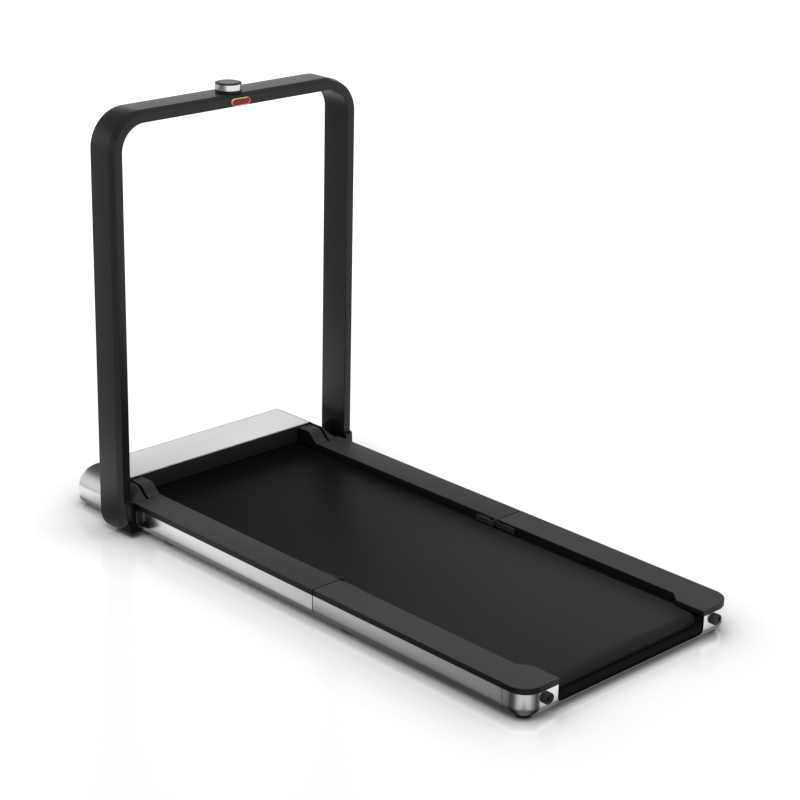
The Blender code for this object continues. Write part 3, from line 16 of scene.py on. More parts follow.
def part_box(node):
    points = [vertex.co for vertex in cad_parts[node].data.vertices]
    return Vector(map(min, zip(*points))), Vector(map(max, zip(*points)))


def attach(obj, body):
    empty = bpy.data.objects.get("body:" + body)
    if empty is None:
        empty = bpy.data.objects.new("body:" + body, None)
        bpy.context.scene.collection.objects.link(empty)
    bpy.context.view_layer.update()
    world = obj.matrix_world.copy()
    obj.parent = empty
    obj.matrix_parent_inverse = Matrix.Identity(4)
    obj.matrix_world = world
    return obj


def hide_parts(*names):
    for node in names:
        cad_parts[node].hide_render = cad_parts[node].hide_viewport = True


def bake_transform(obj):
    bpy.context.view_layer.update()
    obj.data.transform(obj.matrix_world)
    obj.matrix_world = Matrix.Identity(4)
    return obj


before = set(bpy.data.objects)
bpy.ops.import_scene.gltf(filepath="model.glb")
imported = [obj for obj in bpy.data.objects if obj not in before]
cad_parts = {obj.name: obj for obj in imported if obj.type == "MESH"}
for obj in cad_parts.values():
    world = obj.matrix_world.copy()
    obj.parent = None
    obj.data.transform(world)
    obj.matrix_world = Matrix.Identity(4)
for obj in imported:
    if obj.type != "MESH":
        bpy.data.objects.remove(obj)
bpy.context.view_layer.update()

# %% [markdown]
# ## Where things are
# The places along the machine are counted from the fold seam, as a builder would mark them on the deck. The
# seam's own place comes from the box of the front left rail and the seam's gap, so nothing has to be
# fitted.

# %% The seam and the main widths
SEAM_GAP = 0.0024
SEAM = np.array([0.0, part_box("rail_front_left")[0].y - SEAM_GAP / 2, 0.0])
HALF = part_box("rail_front_right")[1].x
SIDES = {"left": -1, "right": 1}


def low_high(node):
    """Lowest and highest corner of a node, counted from the seam."""
    low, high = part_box(node)
    return np.array(low) - SEAM, np.array(high) - SEAM


print("seam at y = %.4f, half width %.4f" % (SEAM[1], HALF))

# %% [markdown]
# ## Surfaces from arrays
# Every new piece is a grid of points: rows along one parameter, columns along the other. An outline
# carried along a path, an outline shrunk a little at both ends (which is a rounded edge), and a
# profile turned round an axis are all such grids, so a few small functions make every piece.


# %% Outlines
def arc(centre, radius, start, end, steps):
    """centre + radius * (cos t, sin t) for t from start to end, in degrees."""
    t = np.radians(np.linspace(start, end, steps + 1))
    return np.stack([centre[0] + radius * np.cos(t), centre[1] + radius * np.sin(t)], axis=1)


def rounded(corners, radii, steps=5):
    """Closed polygon with arcs at its corners: each arc starts radius * tan(turn / 2) before its
    corner and turns about a centre that lies one radius to the inner side of the edge."""
    p = np.asarray(corners, float)
    radii = np.broadcast_to(np.asarray(radii, float), len(p))
    before = p - np.roll(p, 1, axis=0)
    after = np.roll(p, -1, axis=0) - p
    before /= np.linalg.norm(before, axis=1)[:, None]
    after /= np.linalg.norm(after, axis=1)[:, None]
    turn = np.arctan2(before[:, 0] * after[:, 1] - before[:, 1] * after[:, 0], (before * after).sum(1))
    start = p - before * (radii * np.tan(np.abs(turn) / 2))[:, None]
    inward = np.sign(turn)[:, None] * np.stack([-before[:, 1], before[:, 0]], axis=1)
    centre = start + inward * radii[:, None]
    angle = turn[:, None] * np.linspace(0, 1, steps + 1)[None, :]
    out = (start - centre)[:, None, :]
    cos, sin = np.cos(angle)[..., None], np.sin(angle)[..., None]
    turned_out = out * cos + np.stack([-out[..., 1], out[..., 0]], axis=-1) * sin
    points = (centre[:, None, :] + turned_out).reshape(-1, 2)
    keep = np.linalg.norm(points - np.roll(points, 1, axis=0), axis=1) > 1e-7
    return points[keep]


def inset(outline, distance):
    """Closed outline moved inwards: each point goes along the mean of its two edge normals,
    lengthened so that both edges move by the same distance."""
    p = np.asarray(outline, float)
    area = (p[:, 0] * np.roll(p[:, 1], -1) - p[:, 1] * np.roll(p[:, 0], -1)).sum()
    edge = np.roll(p, -1, axis=0) - p
    normal = np.stack([-edge[:, 1], edge[:, 0]], axis=1) * np.sign(area)
    normal /= np.linalg.norm(normal, axis=1)[:, None]
    last = np.roll(normal, 1, axis=0)
    mitre = (normal + last) / (1.0 + (normal * last).sum(1))[:, None]
    return p + mitre * distance


def stadium(width, height, centre, steps=16):
    """Two straight sides joined by two half circles."""
    reach = width / 2 - height / 2
    right = arc((centre[0] + reach, centre[1]), height / 2, -90, 90, steps)
    left = arc((centre[0] - reach, centre[1]), height / 2, 90, 270, steps)
    return np.concatenate([right, left])


print("a 20 x 10 mm stadium has", len(stadium(0.020, 0.010, (0.0, 0.0))), "points")


# %% Faces between the points of a grid
def faces_of(rows, columns, wrap_rows=False, wrap_columns=True):
    """Quads between neighbouring rows and columns of a grid numbered row by row."""
    index = np.arange(rows * columns).reshape(rows, columns)
    low = index if wrap_rows else index[:-1]
    high = np.roll(index, -1, axis=0) if wrap_rows else index[1:]
    if wrap_columns:
        quads = np.stack([low, np.roll(low, -1, 1), np.roll(high, -1, 1), high], axis=-1)
    else:
        quads = np.stack([low[:, :-1], low[:, 1:], high[:, 1:], high[:, :-1]], axis=-1)
    return quads.reshape(-1, 4).tolist()


def capped(rows, columns):
    """Faces of a grid of closed rings and of its two ends."""
    ends = [list(range(columns))[::-1], list(range((rows - 1) * columns, rows * columns))]
    return faces_of(rows, columns) + ends


print("three closed rings of eight points with both ends:", len(capped(3, 8)), "faces")


# %% From a mesh to a piece
def placed(name, mesh, body, finish, stands_for, sharp, flat=None):
    """A mesh as a piece that rides on a body: doubles merged, faces turned outwards, edges sharper than an
    angle kept crisp. Neighbours that differ by less than the flat angle become one face. A piece without a
    body is left unattached."""
    bm = bmesh.new()
    bm.from_mesh(mesh)
    bmesh.ops.remove_doubles(bm, verts=bm.verts, dist=1e-6)
    if flat:
        bmesh.ops.dissolve_limit(bm, angle_limit=math.radians(flat), verts=bm.verts, edges=bm.edges)
    else:
        bmesh.ops.dissolve_degenerate(bm, edges=bm.edges, dist=1e-7)
    bmesh.ops.recalc_face_normals(bm, faces=bm.faces)
    bm.to_mesh(mesh)
    bm.free()
    mesh.shade_smooth()
    mesh.set_sharp_from_angle(angle=math.radians(sharp))
    mesh.materials.clear()
    mesh.materials.append(finish)
    made = bpy.data.objects.new(name, mesh)
    bpy.context.scene.collection.objects.link(made)
    if body:
        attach(made, body)
    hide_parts(*stands_for.split())
    return made


def piece(name, points, faces, body, finish, stands_for, sharp=30):
    """One piece from points counted from the seam."""
    mesh = bpy.data.meshes.new(name)
    mesh.from_pydata((np.asarray(points).reshape(-1, 3) + SEAM).tolist(), [], faces)
    return placed(name, mesh, body, finish, stands_for, sharp)


def mirrored(points, side):
    """The same points on the left or right side of the machine."""
    return np.asarray(points) * np.array([side, 1.0, 1.0])


print("points are moved by", [round(float(v), 4) for v in SEAM], "when a piece is made")


# %% Bars, stacked rings and turned parts
def end_rows(outline, end, inward, edge):
    """Rings of a rounded end, from the full outline out to the end face: the outline shrinks by
    edge * (1 - cos t) while it advances by edge * sin t."""
    t = np.linspace(0, np.pi / 2, 4)
    return [(inset(outline, edge * (1 - math.cos(a))), end + inward * edge * (1 - math.sin(a)))
            for a in t]


def ringed(rows, axis):
    """Grid and faces of rings, each at its place along an axis, closed by a face at both ends."""
    order = {"X": (2, 0, 1), "Y": (0, 2, 1), "Z": (0, 1, 2)}[axis]
    rings = [np.column_stack([ring, np.full(len(ring), along)])[:, order] for ring, along in rows]
    grid = np.stack(rings)
    return grid, capped(*grid.shape[:2])


def bar(outline, start, end, axis, edge):
    """An outline pushed from start to end along an axis, both ends rounded."""
    sign = np.sign(end - start)
    return ringed(end_rows(outline, start, sign, edge)[::-1] + end_rows(outline, end, -sign, edge), axis)


def turned(profile, centre, steps=96):
    """Grid and faces of (radius, height) pairs turned round a vertical axis through a centre."""
    profile = np.asarray(profile, float)
    t = np.linspace(0, 2 * np.pi, steps, endpoint=False)
    radius, height = profile[:, :1], profile[:, 1:]
    across = np.stack([radius * np.cos(t), radius * np.sin(t), height + 0 * t], axis=-1)
    return across + np.asarray(centre), faces_of(len(profile), steps)


print("a turned part has", turned([(0.01, 0.0)], (0, 0, 0))[0].shape[1], "points to a ring")


# %% [markdown]
# ## Shader maths as plain expressions
# A pattern in a material is arithmetic on coordinates. One small class lets a node's output be added
# and multiplied with ordinary operators; one method adds every other node. The same pattern written
# by dragging nodes would take a screenful for each finish.


# %% Sockets that behave like numbers
class Value:
    """A number on a surface; each operator adds one Math node."""

    def __init__(self, tree, link):
        self.tree, self.link = tree, link

    def math(self, operation, *others):
        """A Math node on this number and any others."""
        return self.tree.add("ShaderNodeMath", {"operation": operation}, dict(enumerate((self, *others))))

    def __add__(self, other):
        return self.math("ADD", other)

    def __sub__(self, other):
        return self.math("SUBTRACT", other)

    def __rsub__(self, other):
        return (self * -1.0).math("ADD", other)

    def __mul__(self, other):
        return self.math("MULTIPLY", other)

    def __pow__(self, other):
        return self.math("POWER", other)

    def __abs__(self):
        return self.math("ABSOLUTE")

    __radd__ = __add__
    __rmul__ = __mul__

    def step(self, low, high):
        """0 below low, 1 above high, smooth between."""
        return self.tree.add("ShaderNodeMapRange", {"interpolation_type": "SMOOTHSTEP"},
                             {"Value": self, "From Min": low, "From Max": high})


def away_from(place, x, y):
    """Distance from a vertical line through a place: the root of x squared plus y squared."""
    return ((x - place[0]) ** 2.0 + (y - place[1]) ** 2.0) ** 0.5


print("reflected operators:", " ".join(sorted(name for name in vars(Value) if name.startswith("__r"))))


# %% Node trees
class Tree:
    """The nodes of a material or of the world."""

    def __init__(self, owner):
        owner.use_nodes = True
        self.nodes, self.links = owner.node_tree.nodes, owner.node_tree.links

    def plug(self, socket, value):
        """Links a Value to a socket, or writes a plain number or colour into it."""
        if isinstance(value, Value):
            self.links.new(value.link, socket)
        else:
            socket.default_value = value

    def add(self, kind, settings=None, sockets=None, output=0):
        """Adds a node: settings first, then values or links of its sockets; returns one output."""
        node = self.nodes.new(kind)
        for key, value in (settings or {}).items():
            setattr(node, key, value)
        for key, value in (sockets or {}).items():
            self.plug(node.inputs[key], value)
        return Value(self, node.outputs[output])

    def parts(self, kind, sockets=None):
        """Adds a node and returns all its outputs by name."""
        node = self.add(kind, sockets=sockets).link.node
        return {output.name: Value(self, output) for output in node.outputs}


class Finish(Tree):
    """A material in the making, built round its Principled shader."""

    def __init__(self, name, colour, roughness, **fixed):
        self.material = bpy.data.materials.new(name)
        super().__init__(self.material)
        self.shader = self.nodes["Principled BSDF"]
        self.set("Base Color", (*colour, 1.0))
        self.set("Roughness", roughness)
        for socket, value in fixed.items():
            self.set(socket.replace("_", " "), value)
        self.material.diffuse_color = (*colour, 1.0)

    def set(self, socket, value):
        """Gives one socket of the shader a value or a pattern."""
        self.plug(self.shader.inputs[socket], value)

    def place(self):
        """Object coordinates, in metres."""
        return self.add("ShaderNodeTexCoord", output="Object")

    def axes(self):
        """x, y and z of a point as three numbers."""
        return self.parts("ShaderNodeSeparateXYZ", {"Vector": self.place()}).values()

    def grain(self, scale, detail=2.0, stretch=(1.0, 1.0, 1.0)):
        """Noise from 0 to 1, its cells about 1 / scale metres wide and drawn out along an axis."""
        where = self.add("ShaderNodeMapping", sockets={"Vector": self.place(), "Scale": stretch})
        return self.add("ShaderNodeTexNoise", sockets={"Vector": where, "Scale": scale, "Detail": detail})

    def blend(self, factor, low, high):
        """Colour between two colours, each plain or a pattern of its own."""
        low, high = (c if isinstance(c, Value) else (*c, 1.0) for c in (low, high))
        return self.add("ShaderNodeMix", {"data_type": "RGBA"}, {0: factor, 6: low, 7: high}, output=2)

    def bump(self, height, depth, strength):
        """Raises the surface by depth metres times the height pattern."""
        relief = {"Height": height, "Distance": depth, "Strength": strength}
        self.set("Normal", self.add("ShaderNodeBump", sockets=relief))


def linear(*shown):
    """Displayed colour, 0 to 255, as linear light."""
    c = np.array(shown if len(shown) == 3 else shown * 3) / 255.0
    return tuple(float(v) for v in np.where(c <= 0.04045, c / 12.92, ((c + 0.055) / 1.055) ** 2.4))


def darker(colour, share):
    """A colour times a share."""
    return tuple(c * share for c in colour)


LOADED = len(bpy.data.materials)
print("a displayed grey of 128 is %.3f in linear light" % linear(128)[0])


# %% [markdown]
# ## Finishes
# Aluminium drawn or brushed along the rail, the cap and the hood; bare and painted steel; moulded
# plastic with the grain of its mould; the powder-coated frame; rubber, and the belt's pressed
# diamonds; chrome, the knob's turned face and the red key. Each gets a base colour that wanders
# slightly. Most also get a roughness that wanders with it and a fine relief of the real size.


# %% Metals
def drawn_aluminium(name, colour, roughness, along, depth=0.00002, metallic=1.0):
    """Fine lines left by drawing or brushing, long along one axis and about 0.4 mm wide."""
    finish = Finish(name, colour, roughness, Metallic=metallic)
    stretch = tuple(0.02 if axis == along else 1.0 for axis in "XYZ")
    lines = finish.grain(2600.0, 3.0, stretch)
    cloud = finish.grain(9.0, 3.0)
    finish.set("Base Color", finish.blend(lines * 0.5 + cloud * 0.5, darker(colour, 0.90), colour))
    finish.set("Roughness", roughness - 0.05 + lines * 0.07 + cloud * 0.05)
    finish.bump(lines, depth, 0.25)
    return finish.material


silver_rail = drawn_aluminium("silver_rail", linear(238), 0.20, "Y")
silver_cap = drawn_aluminium("silver_cap", linear(236), 0.20, "Z")
silver_hood = drawn_aluminium("silver_hood", linear(238), 0.22, "X")
hood_plate_coat = drawn_aluminium("hood_plate_coat", linear(251, 252, 254), 0.36, "X", 0.00001, 0.35)
knob_chrome = drawn_aluminium("knob_chrome", linear(236), 0.14, "Z", 0.000005)


def plain_steel(name, colour, roughness, metallic=1.0):
    """Painted or turned steel with faint handling marks."""
    finish = Finish(name, colour, roughness, Metallic=metallic)
    marks = finish.grain(60.0, 4.0)
    finish.set("Base Color", finish.blend(marks, darker(colour, 0.85), colour))
    finish.set("Roughness", roughness - 0.08 + marks * 0.16)
    return finish.material


bright_steel = plain_steel("bright_steel", linear(205), 0.28)
black_steel = plain_steel("black_steel", linear(44), 0.45, 0.0)
silver_pan_coat = plain_steel("silver_pan_coat", linear(205), 0.34)


def pivot_plate_finish():
    """Bare casting up to the trim's top; above it the ear takes a near-black, which is painted shade."""
    finish = Finish("pivot_plate_coat", linear(100), 0.42, Specular_IOR_Level=0.1)
    _, _, z = finish.axes()
    # painted shade: the ear above the trim is made near-black where it sits in shade
    shaded_ear = z.step(0.0590, 0.0605)
    bare = finish.blend(finish.grain(60.0, 4.0), linear(92), linear(102))
    finish.set("Base Color", finish.blend(shaded_ear, bare, linear(12)))
    finish.set("Metallic", 1.0 - shaded_ear)
    return finish.material


pivot_plate_coat = pivot_plate_finish()
print("metals:", len(bpy.data.materials) - LOADED)


# %% Plastics, coats and rubber
def moulded(name, colour, roughness, cell, depth, specular=0.5, shaded_side_colour=None, foot_colour=None):
    """Moulded plastic: a grain pressed in by the mould, cells a given size, and a slow colour drift. Faces
    that look up keep the main colour and the others take a darker side colour, which is painted shade on
    the sides. A darker colour, painted shade near the floor, fades out over the lowest 160 mm."""
    finish = Finish(name, colour, roughness, Specular_IOR_Level=specular)
    grain = finish.grain(1.0 / cell)
    drift = finish.grain(7.0)
    shown = finish.blend(grain * 0.5 + drift * 0.5, darker(colour, 0.86), colour)
    # painted shade: faces that don't look up take the darker side colour
    if shaded_side_colour:
        facing = finish.add("ShaderNodeTexCoord", output="Normal")
        lit_from_above = finish.parts("ShaderNodeSeparateXYZ", {"Vector": facing})["Z"].step(0.3, 0.9)
        shown = finish.blend(lit_from_above, shaded_side_colour, shown)
    # painted shade: darker towards the floor over the lowest 160 mm
    if foot_colour:
        _, _, z = finish.axes()
        shown = finish.blend(z.step(0.01, 0.16), foot_colour, shown)
    finish.set("Base Color", shown)
    finish.set("Roughness", roughness - 0.05 + grain * 0.10)
    finish.bump(grain, depth, 0.5)
    return finish.material


# painted shade: the trims' sides are much darker than their tops
trim_plastic = moulded("trim_plastic", linear(56), 0.48, 0.0006, 0.00006, 0.28, linear(18))
# painted shade: the frame darkens towards the floor
frame_coat = moulded("frame_coat", linear(35), 0.30, 0.0009, 0.00003, 0.31, foot_colour=linear(8))
# painted shade: a near-black for the heels and pivot pins, which sit in shade; the pins are bright steel
shade_black = moulded("shade_black", linear(12), 0.60, 0.0008, 0.00003, 0.1)
black_plastic = moulded("black_plastic", linear(20), 0.50, 0.0007, 0.00005, 0.05)
mouth_plastic = moulded("mouth_plastic", linear(36), 0.50, 0.0007, 0.00005, 0.3)
soft_rubber = moulded("soft_rubber", linear(50), 0.62, 0.0012, 0.00008, 0.3)
knob_rim_black = moulded("knob_rim_black", linear(14), 0.35, 0.0008, 0.00002, 0.4)
motor_coat = moulded("motor_coat", linear(70, 72, 76), 0.45, 0.0010, 0.00005)
key_red = moulded("key_red", linear(136, 32, 18), 0.32, 0.0010, 0.00003)
dock_peach = moulded("dock_peach", linear(226, 168, 138), 0.30, 0.0010, 0.00002)
print("with plastics, coats and rubber:", len(bpy.data.materials) - LOADED)

# %% Belt rubber, the knob's face and the board
WEAVE = 0.0024


def belt_rubber_finish():
    """Belt rubber: small raised diamonds from two crossing wave trains, with rubbed tops; the colour pales
    towards the rear, a painted sheen as if more light fell on the rear of the belt."""
    finish = Finish("belt_rubber", linear(34), 0.42, Specular_IOR_Level=0.06)
    x, y, _ = finish.axes()
    pitch = 2 * math.pi / WEAVE
    waves = ((x + y) * pitch).math("SINE") * ((x - y) * pitch).math("SINE")
    relief = (waves * 0.5 + 0.5) * 0.7 + finish.grain(1500.0) * 0.3
    # painted sheen: pales from front to rear; the rubbed diamond tops and the random tone are real
    painted_sheen_and_wear = (y * -1.0).step(-0.62, 0.62) * 0.8 + relief * 0.1 + finish.grain(5.0, 3.0) * 0.1
    finish.set("Base Color", finish.blend(painted_sheen_and_wear, linear(2), linear(43)))
    finish.set("Roughness", 0.46 - relief * 0.10)
    finish.bump(relief, 0.00012, 0.6)
    return finish.material


def turned_finish(name, colour, roughness, metallic, centre, pitch=0.0004):
    """Lathe rings round a vertical axis: the sine of the distance from it."""
    finish = Finish(name, colour, roughness, Metallic=metallic)
    x, y, _ = finish.axes()
    rings = (away_from(centre, x, y) * (2 * math.pi / pitch)).math("SINE") * 0.5 + 0.5
    finish.set("Base Color", finish.blend(rings, darker(colour, 0.88), colour))
    finish.set("Roughness", roughness + rings * 0.06)
    finish.bump(rings, 0.00001, 0.3)
    return finish.material


def board_wood():
    """Waxed board: growth lines drawn out along Y, in a near-black that is painted shade for the gap beside
    the belt.
    """
    # painted shade: the board is nearly black where it shows in the shaded gap beside the belt
    finish = Finish("board_wood", linear(10, 9, 8), 0.5)
    lines = finish.grain(90.0, 4.0, (1.0, 0.05, 1.0))
    finish.set("Base Color", finish.blend(lines, linear(8, 7, 6), linear(13, 12, 10)))
    finish.bump(lines, 0.0001, 0.4)
    return finish.material


belt_rubber = belt_rubber_finish()
knob_face = turned_finish("knob_face", linear(120), 0.36, 0.6, sum(low_high("knob_button")) / 2 + SEAM)
waxed_board = board_wood()
print("all finishes:", len(bpy.data.materials) - LOADED)

# %% [markdown]
# ## Side rails
# Each rail is an aluminium extrusion with a flat outer face that rolls under the deck. An extrusion
# is one section pushed along a line, so its outline is drawn once; a half-millimetre rounding at the
# cut ends gives the bright lines at the fold seam and at the joints.

# %% Rail section and the four rails
RAIL_TOP = low_high("rail_front_left")[1][2]
RAIL_LOW = low_high("rail_front_left")[0][2]
WEB_X = HALF - 0.0665
LEDGE_X = WEB_X - 0.034
LEDGE_Z = 0.0369
LEDGE_END = -0.558
FILLET = 0.025
WALL = 0.003
ROLL_CENTRE = (HALF - FILLET, RAIL_LOW + FILLET)
TOP_EDGE = 0.0006
CUT_EDGE = 0.0005


def rail_outline(ledge_x):
    """Top flange, outer face, quarter circle under the deck, floor, web and the ledge that carries
    the board; then the same path one wall further in."""
    top = [(WEB_X, RAIL_TOP), (HALF - TOP_EDGE, RAIL_TOP), (HALF, RAIL_TOP - TOP_EDGE)]
    floor_web_ledge = [(WEB_X, RAIL_LOW), (WEB_X, LEDGE_Z), (ledge_x, LEDGE_Z)]
    inner_ledge = [(ledge_x, LEDGE_Z + WALL), (WEB_X + WALL, LEDGE_Z + WALL),
                   (WEB_X + WALL, RAIL_LOW + WALL)]
    inner_top = [(HALF - WALL, RAIL_TOP - WALL), (WEB_X, RAIL_TOP - WALL)]
    return np.concatenate([top, arc(ROLL_CENTRE, FILLET, 0, -90, 24), floor_web_ledge, inner_ledge,
                           arc(ROLL_CENTRE, FILLET - WALL, -90, 0, 24), inner_top])


for name, side in SIDES.items():
    full = rail_outline(LEDGE_X) * np.array([side, 1.0])
    bare = rail_outline(WEB_X - 0.0002) * np.array([side, 1.0])
    low, high = low_high("rail_front_" + name)
    grid, faces = bar(full, low[1], high[1], "Y", CUT_EDGE)
    piece("side_rail_front_" + name, grid, faces, "chassis", silver_rail, "rail_front_" + name)
    low, high = low_high("rail_rear_" + name)
    rows = end_rows(full, high[1], -1, CUT_EDGE)[::-1] + [(full, LEDGE_END), (bare, LEDGE_END)]
    grid, faces = ringed(rows + end_rows(bare, low[1], 1, CUT_EDGE), "Y")
    piece("side_rail_rear_" + name, grid, faces, "rear_deck", silver_rail, "rail_rear_" + name)
print("rails from %.3f to %.3f" % (low_high("rail_rear_left")[0][1], low_high("rail_front_left")[1][1]))

# %% [markdown]
# ## Corner caps and adjuster plugs
# The deck's rear corners are separate castings: the rail's own profile led round a quarter circle.
# Carrying one profile along a path keeps the foot's rolled edge even all the way round. A rubber plug
# with an off-centre socket stands out of each cap; behind it sits the belt's tension screw.

# %% Corner caps
REAR = -0.628
CAP_CORNER = 0.046
CAP_START = -0.5675
CAP_FLOOR = 0.040
OPENING = 0.231


def cap_profile():
    """(inset, height) down the cap's wall: small top edge, wall, quarter circle, foot, and back."""
    roll = (FILLET, RAIL_LOW + FILLET)
    return np.concatenate([[(TOP_EDGE, RAIL_TOP), (0.0, RAIL_TOP - TOP_EDGE)],
                           arc(roll, FILLET, 180, 270, 24),
                           [(CAP_FLOOR, RAIL_LOW), (CAP_FLOOR, RAIL_LOW + WALL)],
                           arc(roll, FILLET - WALL, 270, 180, 24), [(WALL, RAIL_TOP)]])


def corner_cap(side):
    """Profile carried along the rail's line, round the corner and along the rear face."""
    t = np.radians(np.linspace(0, 90, 33))
    turn = np.stack([np.cos(t), -np.sin(t)], axis=1)
    centre = np.array([HALF - CAP_CORNER, REAR + CAP_CORNER])
    spots = np.concatenate([[(HALF, CAP_START), (HALF, CAP_START - CUT_EDGE)],
                            centre + CAP_CORNER * turn,
                            [(OPENING + CUT_EDGE, REAR), (OPENING, REAR)]])
    out = np.concatenate([[(1.0, 0.0)] * 2, turn, [(0.0, -1.0)] * 2])
    shrink = np.zeros(len(spots))
    shrink[[0, -1]] = CUT_EDGE
    profile = cap_profile()
    grid = []
    for spot, way, less in zip(spots, out, shrink):
        ring = inset(profile, less) if less else profile
        grid.append(np.column_stack([spot - way * ring[:, :1], ring[:, 1]]))
    grid = mirrored(np.array(grid), side)
    return grid, capped(*grid.shape[:2])


for name, side in SIDES.items():
    grid, faces = corner_cap(side)
    piece("corner_cap_shell_" + name, grid, faces, "rear_deck", silver_cap, "corner_cap_" + name,
          40)
print("cap profile:", len(cap_profile()), "points")

# %% Adjuster plugs
PLUG_EDGE = 0.0016
SOCKET_SHIFT = {-1: -0.0045, 1: 0.0075}
SOCKET_RINGS = ((0.0053, 0.0005), (0.0047, 0.0012), (0.0045, 0.0070), (0.0, 0.0070))


def adjuster_plug(node, side):
    """Oval rings from the cap out to the face, then rings that shrink on to the round socket and
    down into it, each of a radius and a depth."""
    low, high = low_high(node)
    centre = np.array([(low[0] + high[0]) / 2, (low[2] + high[2]) / 2])
    face, root = low[1], high[1]
    oval = stadium(high[0] - low[0], high[2] - low[2], centre)
    rings = [(oval, root), (oval, face + PLUG_EDGE)]
    for t in np.linspace(0, np.pi / 2, 6)[1:]:
        rings.append((inset(oval, PLUG_EDGE * (1 - math.cos(t))), face + PLUG_EDGE * (1 - math.sin(t))))
    rings += [(inset(oval, PLUG_EDGE + 0.0006), face), (inset(oval, PLUG_EDGE + 0.0012), face + 0.0005)]
    socket_centre = centre + np.array([SOCKET_SHIFT[side], 0.0])
    turn = np.linspace(-np.pi / 2, 1.5 * np.pi, len(oval), endpoint=False)
    circle = np.stack([np.cos(turn), np.sin(turn)], axis=1)
    rings += [(socket_centre + radius * circle, face + deep) for radius, deep in SOCKET_RINGS]
    return ringed(rings, "Y")


for name, side in SIDES.items():
    node = "adjuster_plug_" + name
    grid, faces = adjuster_plug(node, side)
    piece("tension_plug_" + name, grid, faces, "rear_deck", soft_rubber, node, 50)
print("plugs of", len(grid), "rings")

# %% [markdown]
# ## Top trims
# Moulded covers hide the rails' top edges and the belt's sides. In front they are one section pushed
# along the rail. At the rear they widen over the tension screws, where a facet slopes down to the
# belt. Flat faces with a Bevel modifier suit that corner better than a grid, because the facet's
# crease stays straight while every edge gets the same small rounding.

# %% Front trims
TRIM_TOP = low_high("trim_front_left")[1][2]
TRIM_LOW = RAIL_TOP + 0.0003
TRIM_INNER = HALF - 0.079
LIP_LOW = low_high("trim_front_left")[0][2]
LIP_OUT = TRIM_INNER + 0.0026
TRIM_WALL = 0.003

trim_section = rounded([(TRIM_INNER, LIP_LOW), (LIP_OUT, LIP_LOW),
                        (TRIM_INNER + TRIM_WALL, TRIM_TOP - TRIM_WALL),
                        (HALF - TRIM_WALL, TRIM_TOP - TRIM_WALL), (HALF - TRIM_WALL, TRIM_LOW),
                        (HALF, TRIM_LOW), (HALF, TRIM_TOP), (TRIM_INNER, TRIM_TOP)],
                       [0.0004, 0.0004, 0.001, 0.001, 0.0004, 0.0004, 0.0014, 0.0011])
for name, side in SIDES.items():
    low, high = low_high("trim_front_" + name)
    grid, faces = bar(trim_section * np.array([side, 1.0]), low[1], high[1], "Y", 0.0006)
    piece("side_trim_front_" + name, grid, faces, "chassis", trim_plastic, "trim_front_" + name)
print("front trim section:", len(trim_section), "points")

# %% Rear trims
WIDE_INNER = HALF - 0.101
CREASE = WIDE_INNER + 0.0235
FACET_DROP = 0.0014
STEP_START = -0.527
STEP_END = -0.553
LIP_IN = TRIM_INNER + 0.0004
LIP_TOP = TRIM_LOW + 0.002
LIP_RUN = (-0.0072, STEP_START + 0.004)


def bevelled(made, width, segments, angle):
    """A live Bevel on edges sharper than an angle, its shading weighted by face area."""
    bevel = made.modifiers.new("edges", "BEVEL")
    bevel.width = width
    bevel.segments = segments
    bevel.limit_method = "ANGLE"
    bevel.angle_limit = math.radians(angle)
    bevel.harden_normals = True


def rear_trim(side):
    """Top face ring, facet and skirt: plan points at the trim's top, their shadows at its foot, and
    the wide end's inner edge lowered by the facet's drop."""
    corner = arc((HALF - CAP_CORNER, REAR + CAP_CORNER), CAP_CORNER, 0, -90, 24)
    plan = np.concatenate([[(TRIM_INNER, -SEAM_GAP / 2), (HALF, -SEAM_GAP / 2)], corner,
                           [(CREASE, REAR), (WIDE_INNER, REAR), (WIDE_INNER, STEP_END),
                            (TRIM_INNER, STEP_START)]])
    drop = np.zeros(len(plan))
    drop[[-3, -2]] = FACET_DROP
    top = np.column_stack([plan, TRIM_TOP - drop])
    foot = np.column_stack([plan, np.full(len(plan), TRIM_LOW)])
    crease = np.array([(CREASE, STEP_END, TRIM_TOP)])
    points = mirrored(np.concatenate([top, foot, crease]), side)
    n = len(plan)
    skirt = [[i, (i + 1) % n, (i + 1) % n + n, i + n] for i in range(n)]
    flat = list(range(n - 3)) + [2 * n, n - 1]
    slope = [n - 4, n - 3, n - 2, 2 * n]
    return points, skirt + [flat, slope, [n - 2, n - 1, 2 * n], list(range(n, 2 * n))]


for name, side in SIDES.items():
    node = "trim_rear_" + name
    points, faces = rear_trim(side)
    cover = piece("side_trim_rear_" + name, points, faces, "rear_deck", trim_plastic, node)
    bevelled(cover, 0.0012, 3, 28)
    lip = rounded([(LIP_IN, LIP_LOW), (LIP_OUT, LIP_LOW), (LIP_OUT, LIP_TOP), (LIP_IN, LIP_TOP)], 0.0004)
    grid, faces = bar(lip * np.array([side, 1.0]), *LIP_RUN, "Y", 0.0004)
    piece("side_trim_lip_" + name, grid, faces, "rear_deck", trim_plastic, node)
print("rear trims step out by %.0f mm" % (1000 * (TRIM_INNER - WIDE_INNER)))

# %% [markdown]
# ## Hood and bridge covers
# The hood is a pressed shell whose shoulder follows a superellipse, a curve that leaves the side
# upright and arrives flat at the top plate. The bridge covers climb from the trims to that same
# curve, cut off at their own top, so one height formula serves both. The groove in them is a narrow
# dip of the same formula.

